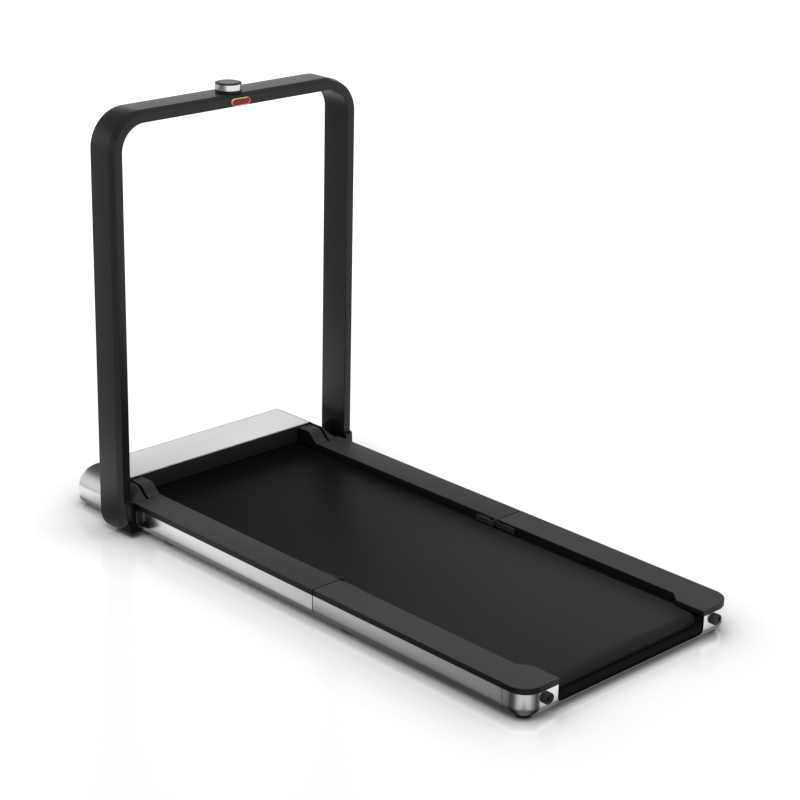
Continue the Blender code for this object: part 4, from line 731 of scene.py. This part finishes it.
# %% Shoulder curve and hood shell
HOOD_TOP = low_high("hood_top_plate")[1][2]
HOOD_REAR = low_high("hood_shell")[0][1]
HOOD_FRONT = low_high("hood_shell")[1][1]
SHOULDER = 0.0445
SHOULDER_START = 0.0476
SHOULDER_POWER = 1.377
HOOD_CORNER = 0.025
HOOD_FOOT = 0.020
HOOD_FLANGE = 0.028
SEAT_EDGE = (0.0003, 0.0004)
LIP_EDGE = (0.0012, 0.0)


def shoulder_height(sine):
    """Height of the superellipse: its rise times the sine of the parameter to the same power."""
    return SHOULDER_START + (HOOD_TOP - SHOULDER_START) * sine ** SHOULDER_POWER


def shoulder_level(t):
    """(inset, height) of the superellipse at a parameter from 0, upright, to 90 degrees, flat."""
    t = np.radians(t)
    inward = SHOULDER * (1.0 - np.clip(np.cos(t), 0, 1) ** SHOULDER_POWER)
    return inward, shoulder_height(np.sin(t))


def hood_row(inward, z):
    """Plan line of the hood at an inset: side, corner arc, front, corner arc, side."""
    radius = max(HOOD_CORNER - inward, 0.003)
    across, ahead = HALF - inward - radius, HOOD_FRONT - inward - radius
    rear = np.column_stack([np.full(9, HALF - inward), np.linspace(HOOD_REAR, ahead, 10)[:-1]])
    half = np.concatenate([rear, arc((across, ahead), radius, 0, 90, 14)])
    line = np.concatenate([half, half[::-1] * np.array([-1.0, 1.0])])
    return np.column_stack([line, np.full(len(line), z)])


def hood_levels():
    """Outside levels from the plate's seat down to the flange, then the same levels one wall in."""
    outside = np.column_stack(shoulder_level(np.linspace(90, 0, 33)))
    seat, lip = outside[0] - SEAT_EDGE, outside[0] - LIP_EDGE
    foot = arc((HOOD_FOOT, RAIL_LOW + HOOD_FOOT), HOOD_FOOT, 180, 270, 16)
    outside = np.concatenate([[seat, lip], outside[1:], foot, [(HOOD_FLANGE, RAIL_LOW)]])
    along = np.gradient(outside, axis=0)
    along /= np.linalg.norm(along, axis=1)[:, None]
    inside = outside + np.stack([-along[:, 1], along[:, 0]], axis=1) * WALL
    inside[:2] = [(seat[0], HOOD_TOP - WALL), (seat[0] - 0.001, HOOD_TOP - WALL)]
    inside[-1] = (HOOD_FLANGE, RAIL_LOW + WALL)
    return np.concatenate([outside, inside[::-1]])


grid = np.stack([hood_row(inward, z) for inward, z in hood_levels()])
rows, columns = grid.shape[:2]
ends = [[i * columns for i in range(rows)], [i * columns + columns - 1 for i in range(rows)][::-1]]
hood_body = piece("hood_cover", grid, faces_of(rows, columns, wrap_rows=True, wrap_columns=False) + ends,
                  "chassis", silver_hood, "hood_shell")
print("hood shell:", rows, "levels of", columns, "points")

# %% Openings for the mains socket and the switch
SOCKETS = {"inlet": (HALF - 0.1135, 0.0135, 0.0095), "switch": (HALF - 0.1635, 0.0105, 0.0075)}
SOCKET_Z = 0.0358
SOCKET_PLAY = 0.0003

def cut_box(target, x, y, z):
    """Takes a box out of a piece with a Boolean whose result becomes the piece's own mesh."""
    corners = np.array([(i, j, k) for i in x for j in y for k in z])
    quads = [[0, 1, 3, 2], [4, 6, 7, 5], [0, 4, 5, 1], [2, 3, 7, 6], [0, 2, 6, 4], [1, 5, 7, 3]]
    tool_mesh = bpy.data.meshes.new("opening")
    tool_mesh.from_pydata((corners + SEAM).tolist(), [], quads)
    tool = bpy.data.objects.new("opening", tool_mesh)
    bpy.context.scene.collection.objects.link(tool)
    step = target.modifiers.new("opening", "BOOLEAN")
    step.object = tool
    step.solver = "EXACT"
    bpy.context.view_layer.update()
    cut_mesh = bpy.data.meshes.new_from_object(target.evaluated_get(bpy.context.evaluated_depsgraph_get()))
    target.modifiers.remove(step)
    target.data = cut_mesh
    bpy.data.objects.remove(tool)


for x, half, high in SOCKETS.values():
    half, high = half + SOCKET_PLAY, high + SOCKET_PLAY
    cut_box(hood_body, (x - half, x + half), (HOOD_FRONT - 0.02, HOOD_FRONT + 0.01),
            (SOCKET_Z - high, SOCKET_Z + high))
print("hood shell after its openings:", len(hood_body.data.polygons), "faces")

# %% Top plate and the wall behind the belt's mouth
low, high = low_high("hood_top_plate")
plate = rounded([(low[0], low[1]), (high[0], low[1]), (high[0], high[1]), (low[0], high[1])],
                [0.0002, 0.0002, 0.003, 0.003], 6)
grid, faces = bar(plate, low[2], high[2], "Z", 0.0005)
piece("hood_plate", grid, faces, "chassis", hood_plate_coat, "hood_top_plate")

low, high = low_high("hood_rear_wall")
wall = rounded([(low[1], high[2]), (low[1] + 0.002, high[2]), (low[1] + 0.002, low[2] + 0.004),
                (high[1], low[2] + 0.0015), (high[1], low[2]), (low[1], low[2])],
               [0.0003, 0.0003, 0.003, 0.0006, 0.0003, 0.0003], 4)
grid, faces = bar(wall, low[0], high[0], "X", 0.0003)
piece("hood_mouth_wall", grid, faces, "chassis", mouth_plastic, "hood_rear_wall")
print("plate %.0f x %.0f mm" % tuple(1000 * (plate.max(0) - plate.min(0))))

# %% Bridge covers
BRIDGE_TOP = 0.099
JOINT_LINE = 0.0012
SLOPE_START = 0.630
SLOPE_END = 0.668
GROOVE = (0.0365, 0.0435)
GROOVE_DEEP = 0.012
BRIDGE_EDGE = 0.0012
END_DROP = (0.0014, 0.0006)


def smooth(low, high, value):
    """0 below low, 1 above high, 3 u^2 - 2 u^3 between."""
    u = np.clip((value - low) / (high - low), 0, 1)
    return u * u * (3 - 2 * u)


def bridge_height(inward, y):
    """The trim's top at the rear and the hood's section in front, blended along y; the groove takes
    its depth off between two inset lines."""
    share = np.clip(1.0 - inward / SHOULDER, 0, 1)
    section = shoulder_height(np.sin(np.arccos(share ** (1 / SHOULDER_POWER))))
    section = np.clip(section, TRIM_LOW + 0.0007, BRIDGE_TOP)
    rims = [smooth(rim - 0.0003, rim + 0.0003, inward) for rim in GROOVE]
    run = smooth(SLOPE_START, SLOPE_END, y)
    return TRIM_TOP + run * (section - TRIM_TOP) - GROOVE_DEEP * (rims[0] - rims[1])


def bridge_cover(side, start, end):
    """Sections across the cover: foot, top line at the formula's heights, foot. The long edges are
    rounded by a quarter circle and both ends lowered a little."""
    curve = shoulder_level(np.linspace(0, 78, 40))[0]
    lips = np.linspace(GROOVE[0] - 0.0004, GROOVE[0] + 0.0004, 7)
    width = HALF - TRIM_INNER
    inward = np.concatenate([curve[curve < lips[0]], lips, lips + (GROOVE[1] - GROOVE[0]),
                             np.linspace(GROOVE[1] + 0.0010, width, 16)])
    y = np.concatenate([np.linspace(start, SLOPE_END, 28), np.linspace(SLOPE_END, end, 8)[1:]])
    top = bridge_height(inward[None, :], y[:, None])
    rise = np.minimum(np.minimum(inward, width - inward), BRIDGE_EDGE) / BRIDGE_EDGE
    top -= (BRIDGE_EDGE * (1 - np.sqrt(1 - (1 - rise) ** 2)))[None, :] * (top > TRIM_LOW + 0.003)
    top[[0, -1]] -= np.array(END_DROP)[:, None]
    x = np.broadcast_to(HALF - inward, top.shape)
    grid = np.stack([x, np.broadcast_to(y[:, None], top.shape), top], axis=-1)
    foot = np.stack([grid[:, -1], grid[:, 0]], axis=1)
    foot[..., 2] = TRIM_LOW
    return mirrored(np.concatenate([grid, foot], axis=1), side)


for name, side in SIDES.items():
    low, high = low_high("bridge_cover_" + name)
    grid = bridge_cover(side, low[1] + JOINT_LINE, high[1])
    piece("bridge_" + name, grid, capped(*grid.shape[:2]), "chassis", trim_plastic,
          "bridge_cover_" + name)
print("bridge covers reach %.1f mm" % (1000 * BRIDGE_TOP))

# %% [markdown]
# ## Belt
# One endless belt runs over both halves of the deck and round both rollers. It is a thin band along a path
# of two straight runs and two half circles. It is attached to neither half: its points stay where they are
# made, across the seam where the deck folds.

# %% Walking belt
BELT_HALF = TRIM_INNER - 0.0145
BELT_TOP = 0.057
BELT_THICK = 0.0015
ROLLERS_Y = (-0.585, 0.735)
ROLL_RADIUS = 0.022
FINE_HALF = 0.04


def belt_path():
    """Points and outward directions once round: top run, front half circle, bottom run, rear one.
    The points lie closer at the seam, where the belt bends."""
    run = np.concatenate([np.linspace(ROLLERS_Y[0], -FINE_HALF, 28)[:-1],
                          np.linspace(-FINE_HALF, FINE_HALF, 25),
                          np.linspace(FINE_HALF, ROLLERS_Y[1], 34)[1:]])
    level, flat = np.ones(len(run)), np.zeros(len(run))
    t = np.radians(np.linspace(90, -90, 25)[1:-1])
    away = np.stack([np.cos(t), np.sin(t)], axis=1)
    z = BELT_TOP - ROLL_RADIUS
    up = np.column_stack([run, level * BELT_TOP, flat, level])
    front = np.column_stack([(ROLLERS_Y[1], z) + ROLL_RADIUS * away, away])
    down = np.column_stack([run[::-1], level * (z - ROLL_RADIUS), flat, -level])
    rear = np.column_stack([(ROLLERS_Y[0], z) - ROLL_RADIUS * away, -away])
    return np.concatenate([up, front, down, rear])


def belt_band():
    """Each path point carries a thin section with rounded long edges, set inwards from the path."""
    path = belt_path()
    section = rounded([(-BELT_HALF, -BELT_THICK), (BELT_HALF, -BELT_THICK), (BELT_HALF, 0),
                       (-BELT_HALF, 0)], 0.0005, 3)
    x = np.broadcast_to(section[:, 0], (len(path), len(section)))
    y = path[:, :1] + path[:, 2:3] * section[:, 1]
    z = path[:, 1:2] + path[:, 3:4] * section[:, 1]
    return np.stack([x, y, z], axis=-1)


grid = belt_band()
belt = piece("walking_belt", grid, faces_of(*grid.shape[:2], wrap_rows=True), None, belt_rubber,
             "belt_front belt_rear")
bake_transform(belt)
print("belt: %d faces, %.2f m wide" % (len(belt.data.polygons), 2 * BELT_HALF))

# %% [markdown]
# ## Handrail frame
# A flat tube bent into a portal, chamfered along its outer rear edge. One cross section follows the
# left upright, the bend, the crossbar, the other bend and the right upright. Near the floor the
# front edge rounds off, and a moulded shoe thickens the user's face. The shoe swings with the tube,
# so it ends on the circle about the pin; a fixed heel carries its line on to the floor.

# %% Frame tube
FRAME_HALF = low_high("handrail_frame")[1][0]
FRAME_TOP = low_high("handrail_frame")[1][2]
FRAME_FOOT = low_high("handrail_frame")[0][2]
TUBE_THICK = 0.0265
TUBE_REAR = 0.630
TUBE_FRONT = 0.7154
CHAMFER = (0.0048, 0.0178)
FRAME_BEND = 0.089
FOOT_ROUND = 0.028
PIVOT = np.array([0.6725, 0.080])
SWING = 0.0725
SWING_BELOW = PIVOT[1] - SWING * 0.55
FOOT_STEPS = np.array([0, 0.0004, 0.0012, 0.003, 0.006, 0.009, 0.0125, 0.0165, 0.0205, 0.0245, 0.029,
                       0.034, 0.039, 0.044, 0.049, 0.054, 0.059, 0.064, 0.069, 0.0715])
UPRIGHT_STEPS = np.array([0.2, 0.4, 0.6, 0.8])


def upright_depth(z):
    """(rear, front) of an upright at a height: an arc at the front foot, and well below the pin
    never outside the circle that the foot swings in."""
    swing = PIVOT[0] - np.sqrt(np.maximum(SWING ** 2 - (PIVOT[1] - z) ** 2, 0))
    rear = np.where(z < SWING_BELOW, np.maximum(TUBE_REAR, swing), TUBE_REAR)
    rise = np.minimum(z - FRAME_FOOT, FOOT_ROUND)
    front = TUBE_FRONT + np.sqrt(FOOT_ROUND ** 2 - (FOOT_ROUND - rise) ** 2) - FOOT_ROUND
    return rear, front


def frame_section(rear, front):
    """Rounded section as (depth into the tube from its outer face, y)."""
    return rounded([(TUBE_THICK, rear), (CHAMFER[0], rear), (0.0, rear + CHAMFER[1]), (0.0, front),
                    (TUBE_THICK, front)], [0.0018, 0.0012, 0.0030, 0.0022, 0.0018], 5)


def frame_tube():
    """Sections at every height of the right upright and every angle of its bend, then mirrored."""
    low = np.concatenate([FOOT_STEPS, UPRIGHT_STEPS]) + FRAME_FOOT
    rear, front = upright_depth(low)
    t = np.radians(np.linspace(0, 90, 37))
    turn = np.stack([np.cos(t), np.sin(t)], axis=1)
    centre = np.array([FRAME_HALF - FRAME_BEND, FRAME_TOP - FRAME_BEND])
    upright = np.column_stack([np.full(len(low), FRAME_HALF), low])
    spots = np.concatenate([upright, centre + FRAME_BEND * turn])
    ways = np.concatenate([np.tile([1.0, 0.0], (len(low), 1)), turn])
    rear = np.concatenate([rear, np.full(len(t), TUBE_REAR)])
    front = np.concatenate([front, np.full(len(t), TUBE_FRONT)])
    shrink = np.zeros(len(spots))
    shrink[:2] = [0.0012, 0.0004]
    rows = []
    for spot, way, back, ahead, less in zip(spots, ways, rear, front, shrink):
        ring = frame_section(back, ahead)
        ring = inset(ring, less) if less else ring
        x, z = spot[:, None] - way[:, None] * ring[:, 0]
        rows.append(np.column_stack([x, ring[:, 1], z]))
    right = np.array(rows)
    return np.concatenate([right, right[::-1] * np.array([-1.0, 1.0, 1.0])])


grid = frame_tube()
piece("handrail_tube", grid, capped(*grid.shape[:2]), "handrail", frame_coat, "handrail_frame",
      24)
print("handrail: %.0f mm wide, %.0f mm high" % (2000 * FRAME_HALF, 1000 * FRAME_TOP))

# %% Shoe and heel
SHOE_X = (FRAME_HALF - TUBE_THICK, FRAME_HALF - CHAMFER[0])
SHOE_LINE = [(0.6400, 0.0860), (0.6302, 0.0845), (0.6235, 0.0826), (0.6215, 0.0800), (0.6213, 0.0680),
             (0.6205, 0.0560), (0.6196, 0.0470), (0.6168, 0.0415)]
SHOE_END = (0.6500, 0.0150)
HEEL_GAP = 0.0008
HEEL_LINE = [(0.6205, 0.0118), (0.6060, 0.0115), (0.6020, 0.0122), (0.6004, 0.0140), (0.6002, 0.0165),
             (0.6008, 0.0190), (0.6035, 0.0225), (0.6065, 0.0262), (0.6095, 0.0300), (0.6125, 0.0345)]
HEEL_CAPS = ((SHOE_X[0], 0.0500), (0.3365, 0.0300), (0.3335, 0.0235), (0.3300, 0.0190))

shoe = np.concatenate([SHOE_LINE, arc(PIVOT, SWING, 216.5, 248.0, 10), [SHOE_END]])
heel = np.concatenate([arc(PIVOT, SWING + HEEL_GAP, 218.4, 248.7, 10), HEEL_LINE])
for name, side in SIDES.items():
    grid, faces = bar(shoe, side * SHOE_X[0], side * SHOE_X[1], "X", 0.0006)
    piece("frame_shoe_" + name, grid, faces, "handrail", frame_coat, "handrail_frame")
    rows = end_rows(heel, side * SHOE_X[1], -side, 0.0006)[::-1]
    rows += [(np.minimum(heel, [1.0, top]), side * across) for across, top in HEEL_CAPS]
    grid, faces = ringed(rows, "X")
    # painted shade: the heel takes the near-black of the shade it sits in
    piece("frame_heel_" + name, grid, faces, "chassis", shade_black, "heel_" + name)
print("shoe ends %.1f mm from the heel" % (1000 * HEEL_GAP))

# %% [markdown]
# ## Knob
# Turned parts: a black foot on the crossbar, a bright ring between two dark rims, and a button whose
# top is slightly dished and shows the lathe's rings. A profile of radius and height turned round the
# vertical axis makes each.

# %% Knob foot, ring and button
KNOB_AT = (0.0, PIVOT[0], 0.0)
FOOT_LOW, BUTTON_TOP = low_high("knob_base")[0][2], low_high("knob_button")[1][2]
RING_LOW, RING_HIGH = low_high("knob_ring")[0][2], low_high("knob_ring")[1][2]
RIM_LOW, RIM_HIGH = RING_LOW + 0.0016, RING_HIGH - 0.0022
RIM_FLOOR = RING_LOW + 0.003
KNOB_R = low_high("knob_base")[1][0]
BUTTON_R = low_high("knob_button")[1][0]
INSIDE = KNOB_R - 0.0062
BAND_BACK = KNOB_R - 0.0042
STEM, STEM_HOLE = 0.008, 0.0083
DISH = 0.0009


def edge_arc(radius, height, size, start, end):
    """Arc that rounds a turned edge, about a centre at a radius and a height."""
    return arc((radius, height), size, start, end, 4)


foot = np.concatenate([[(0.0, FOOT_LOW), (KNOB_R - 0.0008, FOOT_LOW)],
                       edge_arc(KNOB_R - 0.0006, FOOT_LOW + 0.0006, 0.0006, -90, 0),
                       edge_arc(KNOB_R - 0.0004, RING_LOW - 0.0007, 0.0004, 0, 90),
                       [(STEM, RING_LOW - 0.0003), (STEM, low_high("knob_base")[1][2]),
                        (0.0, low_high("knob_base")[1][2])]])
grid, faces = turned(foot, KNOB_AT)
piece("knob_foot", grid, faces, "handrail", knob_rim_black, "knob_base")

band = [(KNOB_R - 0.004, RIM_LOW), (KNOB_R - 0.0003, RIM_LOW), (KNOB_R, RIM_LOW + 0.0003),
        (KNOB_R, RIM_HIGH - 0.0003), (KNOB_R - 0.0003, RIM_HIGH), (KNOB_R - 0.004, RIM_HIGH),
        (KNOB_R - 0.004, RIM_LOW)]
low_rim = [(STEM_HOLE, RING_LOW), (KNOB_R - 0.0006, RING_LOW), (KNOB_R - 0.0001, RING_LOW + 0.0005),
           (KNOB_R - 0.0001, RIM_LOW), (BAND_BACK, RIM_LOW), (BAND_BACK, RIM_FLOOR),
           (STEM_HOLE, RIM_FLOOR), (STEM_HOLE, RING_LOW)]
top_rim = np.concatenate([[(INSIDE, RIM_FLOOR), (BAND_BACK, RIM_FLOOR), (BAND_BACK, RIM_HIGH),
                           (KNOB_R - 0.0002, RIM_HIGH)],
                          edge_arc(KNOB_R - 0.0012, RING_HIGH - 0.0012, 0.0012, 0, 90),
                          edge_arc(INSIDE + 0.0008, RING_HIGH - 0.0008, 0.0008, 90, 180),
                          [(INSIDE, RIM_FLOOR)]])
for name, profile, finish in (("knob_band", band, knob_chrome), ("knob_rim_low", low_rim, knob_rim_black),
                              ("knob_rim_top", top_rim, knob_rim_black)):
    grid, faces = turned(profile, KNOB_AT, 128)
    piece(name, grid, faces, "knob", finish, "knob_ring")

u = np.linspace(0, 1, 24)
dish = np.column_stack([(BUTTON_R - 0.0012) * (1 - u), BUTTON_TOP - DISH * (1 - (1 - u) ** 2)])
button = np.concatenate([[(0.0, low_high("knob_button")[0][2]), (BUTTON_R, low_high("knob_button")[0][2])],
                         edge_arc(BUTTON_R - 0.0010, BUTTON_TOP - 0.0010, 0.0010, 0, 90), dish])
grid, faces = turned(button, KNOB_AT, 128)
piece("knob_push_button", grid, faces, "knob_cap", knob_face, "knob_button")
print("knob: %.0f mm across" % (2000 * KNOB_R))

# %% [markdown]
# ## Safety key
# A red magnetic key sits in an oval dock on the user's side of the crossbar. Both are rounded slabs;
# the dock's ring is a tube of oval outlines that goes up the outside, over the rim and down inside.

# %% Dock and key
DOCK_FACE, DOCK_BACK = low_high("safety_key_dock")[0][1], low_high("safety_key_dock")[1][1]
KEY_AT = (0.0, sum(low_high("safety_key_dock"))[2] / 2)
DOCK_SIZE = (0.0545, 0.0175)
DOCK_RIM = 0.0020
DOCK_EDGE = 0.0008
DOCK_FLOOR = DOCK_BACK - 0.0006
KEY_SIZE = (DOCK_SIZE[0] - 0.0044, DOCK_SIZE[1] - 0.0044)

oval = stadium(*DOCK_SIZE, KEY_AT, 28)
rings = [(oval, DOCK_BACK)]
for t in np.linspace(0, np.pi, 13):
    rings.append((inset(oval, DOCK_RIM / 2 * (1 - math.cos(t))), DOCK_FACE + DOCK_EDGE * (1 - math.sin(t))))
grid, faces = ringed(rings + [(inset(oval, DOCK_RIM), DOCK_FLOOR)], "Y")
piece("key_dock", grid, faces, "handrail", dock_peach, "safety_key_dock", 50)

low, high = low_high("safety_key")
grid, faces = bar(stadium(*KEY_SIZE, KEY_AT, 28), high[1], low[1], "Y", 0.0007)
piece("magnetic_key", grid, faces, "key", key_red, "safety_key", 50)
print("dock %.0f x %.1f mm" % (1000 * DOCK_SIZE[0], 1000 * DOCK_SIZE[1]))

# %% [markdown]
# ## Smaller pieces
# Feet, wheels, pins, hinge plates, the rear frame and the pans already have their real outlines in the
# loaded frame. Each visible one gets a merged copy, so that a Bevel can round its edges, and its own
# finish. Pieces inside the machine keep their solids and only take a finish.

# %% Rounded copies of frame solids
def rounded_copy(node, name, body, finish, slot, width):
    """The node's mesh with doubles merged and flat neighbours joined, then a Bevel on its edges."""
    mesh = bpy.data.objects[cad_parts[node].name].data.copy()
    mesh.name = name
    bevelled(placed(name, mesh, body, finish, node, 35, flat=0.5), width, 2, 35)


COPIES = []
for side in SIDES:
    COPIES += [
        ("hinge_plate_" + side, "pivot_plate_" + side, "chassis", pivot_plate_coat, "cast_hinge", 0.0008),
        ("pivot_pin_" + side, "frame_pin_" + side, "handrail", shade_black, "bright_steel", 0.0004),
        ("transport_wheel_" + side, "roll_wheel_" + side, "wheel_" + side, soft_rubber,
         "foot_rubber", 0.0006)]
    for place, body in (("mid_", "chassis"), ("seam_", "rear_deck"), ("rear_", "rear_deck")):
        COPIES.append(("foot_" + place + side, "rubber_foot_" + place + side, body, soft_rubber,
                       "foot_rubber", 0.0005))
COPIES += [("rear_frame", "roller_frame", "rear_deck", black_plastic, "black_plastic", 0.0010),
           ("rear_pan", "floor_pan_rear", "rear_deck", silver_pan_coat, "silver_pan", 0.0004),
           ("front_pan", "floor_pan_front", "chassis", black_steel, "black_steel", 0.0004),
           ("power_entry", "mains_entry", "chassis", black_plastic, "black_plastic", 0.0004),
           ("switch_rocker", "rocker", "power_switch", black_plastic, "black_plastic", 0.0004)]
for row in COPIES:
    rounded_copy(*row)
print("rounded copies:", len(COPIES))

# %% Finishes of the pieces inside
INSIDE_FINISH = {"deck_board_front": waxed_board, "deck_board_rear": waxed_board, "motor": motor_coat,
                 "roller_front": bright_steel, "roller_rear": bright_steel, "axle_front": bright_steel,
                 "axle_rear": bright_steel, "motor_shaft": bright_steel, "drive_belt": soft_rubber,
                 "drive_pulley": black_plastic, "controller": black_plastic}
solids = {node: made for node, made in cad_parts.items() if not made.hide_render}
for node, made in solids.items():
    for slot in made.material_slots:
        slot.material = INSIDE_FINISH.get(node, black_steel)
print("solids kept:", ", ".join(solids))

# %% [markdown]
# ## Studio
# A pale floor that mirrors the object faintly, a wide soft lamp overhead, and a bright band round the
# horizon that only reflections see. Matt black stays dark on its sides while bare metal shows the band,
# which is how such machines are photographed. Metal near the floor mirrors the floor too, so the floor that
# reflections see is painted with a few dark and bright patches, painted shadow and highlight, as cards laid
# round the machine would give.

# %% Floor
FLOOR_GREY = 0.35
MIRROR_ROUGHNESS = 0.17
MIRROR_SHARE = 0.28
NEAR_GLOW, FAR_GLOW = 0.95, 1.4
GLOW_RUN = (1.0, 3.5)
CLOSE = 0.20
SHADOW_PATCH_PLACE, SHADOW_PATCH_TONE = (-0.75, -0.85), 0.20
CORNER_FOCUS = (-0.2988, -0.7153)
BRIGHT_WAY, BRIGHT_TONE = (45, 22, 58), 0.66
DARK_WAYS, DARK_SHARE = ((-22, 8, 24), (112, 6, 20)), 0.75
BEHIND = (118, 134)
FOOT_PLACE, FOOT_TONE = (0.45, 0.66), 0.35
FAR_TONE = 0.5
SHADE_TONE = 0.2
DECK_END = 0.745


def off_way(degrees, middle, start, end):
    """0 within start degrees of a direction, 1 beyond end degrees from it, smooth between."""
    return abs(degrees - middle).step(start, end)


def floor_tone(x, y):
    """How bright the floor is in reflections, all painted: a painted shadow beside the deck's rear, painted
    shade beside the handrail's feet, grey far to the left, and the deck's own shadow. Round the point that
    the rounded rear corner mirrors to, directions count: two dark wedges with a bright one between, and
    everything behind bright."""
    # painted shadow: a dark patch beside the deck's rear, seen only in reflections
    painted_patches = away_from(SHADOW_PATCH_PLACE, x, y).step(0.25, 1.5) * (1.0 - SHADOW_PATCH_TONE) + SHADOW_PATCH_TONE
    way = (y * -1.0 + CORNER_FOCUS[1]).math("ARCTAN2", x * -1.0 + CORNER_FOCUS[0])
    degrees = way * (180 / math.pi)
    near = 1.0 - away_from(CORNER_FOCUS, x, y).step(0.35, 0.6)
    bright = (1.0 - off_way(degrees, *BRIGHT_WAY)) * near * BRIGHT_TONE
    dark = 2.0 - off_way(degrees, *DARK_WAYS[0]) - off_way(degrees, *DARK_WAYS[1])
    painted_patches = painted_patches.math("MAXIMUM", bright).math("MAXIMUM", degrees.step(*BEHIND))
    painted_patches = painted_patches * (1.0 - dark * near * DARK_SHARE)
    foot = away_from(FOOT_PLACE, abs(x), y).step(0.05, 0.14) * (1.0 - FOOT_TONE) + FOOT_TONE
    left = ((y - x) * 0.7071).step(1.0, 1.3)
    beside = (abs(x) - HALF).math("MAXIMUM", abs(y) - DECK_END)
    shade = beside.step(0.008, 0.06) * (1.0 - SHADE_TONE) + SHADE_TONE
    return painted_patches * foot * (1.0 - left * (1.0 - FAR_TONE)) * shade


def floor_finish():
    """Bounced light meets a mid grey floor. The camera sees it lit white, by a glow that fades where
    something stands close, with a weak gloss. Reflections see the tones of floor_tone."""
    finish = Finish("studio_floor", (FLOOR_GREY,) * 3, 1.0, Specular_IOR_Level=0.0)
    x, y, _ = finish.axes()
    clear = finish.add("ShaderNodeAmbientOcclusion", {"samples": 8}, {"Distance": CLOSE}, output=1)
    glow = away_from((0, 0), x, y).step(*GLOW_RUN) * (FAR_GLOW - NEAR_GLOW) + NEAR_GLOW
    matt = finish.add("ShaderNodeBsdfPrincipled", sockets={
        "Base Color": (FLOOR_GREY, FLOOR_GREY, FLOOR_GREY, 1.0), "Roughness": 1.0,
        "Specular IOR Level": 0.0, "Emission Color": (1.0, 1.0, 1.0, 1.0),
        "Emission Strength": glow * clear ** 2.0})
    polish = finish.add("ShaderNodeBsdfAnisotropic", {"distribution": "MULTI_GGX"},
                        {"Color": (1.0, 1.0, 1.0, 1.0), "Roughness": MIRROR_ROUGHNESS})
    seen = finish.add("ShaderNodeMixShader", sockets={0: MIRROR_SHARE, 1: matt, 2: polish})
    in_mirrors = finish.add("ShaderNodeEmission", sockets={"Strength": floor_tone(x, y)})
    rays = finish.parts("ShaderNodeLightPath")
    bounced = Value(finish, finish.shader.outputs[0])
    direct = finish.add("ShaderNodeMixShader", sockets={0: rays["Is Camera Ray"], 1: bounced, 2: seen})
    mixed = finish.add("ShaderNodeMixShader", sockets={0: rays["Is Glossy Ray"], 1: direct, 2: in_mirrors})
    finish.plug(finish.nodes["Material Output"].inputs["Surface"], mixed)
    return finish.material


bpy.ops.mesh.primitive_plane_add(size=60)
floor = bpy.context.object
floor.name = "studio_floor"
floor.data.materials.append(floor_finish())
print("floor nodes:", len(floor.active_material.node_tree.nodes))

# %% World
AROUND = 0.28
BAND, CEILING = 0.78, 0.07
BAND_FADE = (0.28, 0.50)


def studio_world():
    """White to the camera, an even glow for matt surfaces, and for reflections a white band from
    the horizon up, which fades between about 16 and 30 degrees into a darker ceiling."""
    world = bpy.data.worlds.new("studio")
    tree = Tree(world)
    rays = tree.parts("ShaderNodeLightPath")
    direction = tree.add("ShaderNodeTexCoord", output="Generated")
    height = tree.parts("ShaderNodeSeparateXYZ", {"Vector": direction})["Z"]
    band = tree.add("ShaderNodeMapRange", {"interpolation_type": "SMOOTHSTEP"},
                    {"Value": height, "From Min": BAND_FADE[0], "From Max": BAND_FADE[1],
                     "To Min": BAND, "To Max": CEILING})
    lit = tree.add("ShaderNodeMix", sockets={0: rays["Is Glossy Ray"], 2: AROUND, 3: band})
    strength = tree.add("ShaderNodeMix", sockets={0: rays["Is Camera Ray"], 2: lit, 3: 1.0})
    tree.plug(tree.nodes["Background"].inputs["Color"], (1.0, 1.0, 1.0, 1.0))
    tree.plug(tree.nodes["Background"].inputs["Strength"], strength)
    return world


bpy.context.scene.world = studio_world()
print("world:", bpy.context.scene.world.name)

# %% Lamp
lamp = bpy.data.lights.new("overhead", "AREA")
lamp.size = 3.6
lamp.energy = 150
LAMP_PLACE = Vector((-0.3, -0.3, 3.6))
LAMP_AIM = Vector((0.0, 0.0, 0.3))
overhead = bpy.data.objects.new("overhead", lamp)
overhead.location = LAMP_PLACE
overhead.rotation_euler = (LAMP_AIM - LAMP_PLACE).to_track_quat("-Z", "Y").to_euler()
overhead.visible_glossy = False
bpy.context.scene.collection.objects.link(overhead)
print("lamp: %.1f m square at %.1f m" % (lamp.size, LAMP_PLACE.z))

# %% [markdown]
# ## Camera
# The camera's place came from the photograph: the deck's long edges and the uprights fix where it
# stood, how it was turned and how long its lens was.

# %% Camera
CAMERA_PLACE = (-3.1192, -3.2352, 2.0659)
YAW, PITCH, ROLL = math.radians(44.284), math.radians(-20.349), math.radians(1.298)
LENS = 96.26


def camera_axes():
    """Right, up and back of a camera turned by yaw and pitch, then rolled about its own view."""
    forward = Vector((math.sin(YAW) * math.cos(PITCH), math.cos(YAW) * math.cos(PITCH), math.sin(PITCH)))
    right = Vector((math.cos(YAW), -math.sin(YAW), 0.0))
    up = right.cross(forward)
    across = right * math.cos(ROLL) + up * math.sin(ROLL)
    above = up * math.cos(ROLL) - right * math.sin(ROLL)
    return Matrix((across, above, -forward)).transposed()


view = bpy.data.cameras.new("view")
view.lens = LENS
view.sensor_width = 36.0
camera = bpy.data.objects.new("view", view)
camera.matrix_world = Matrix.Translation(CAMERA_PLACE) @ camera_axes().to_4x4()
bpy.context.scene.collection.objects.link(camera)
bpy.context.scene.camera = camera
bpy.context.scene.view_settings.view_transform = "Standard"
print("camera %.2f m away, lens %.1f mm" % (Vector(CAMERA_PLACE).length, LENS))

# %% End of the scene
print("scene built")
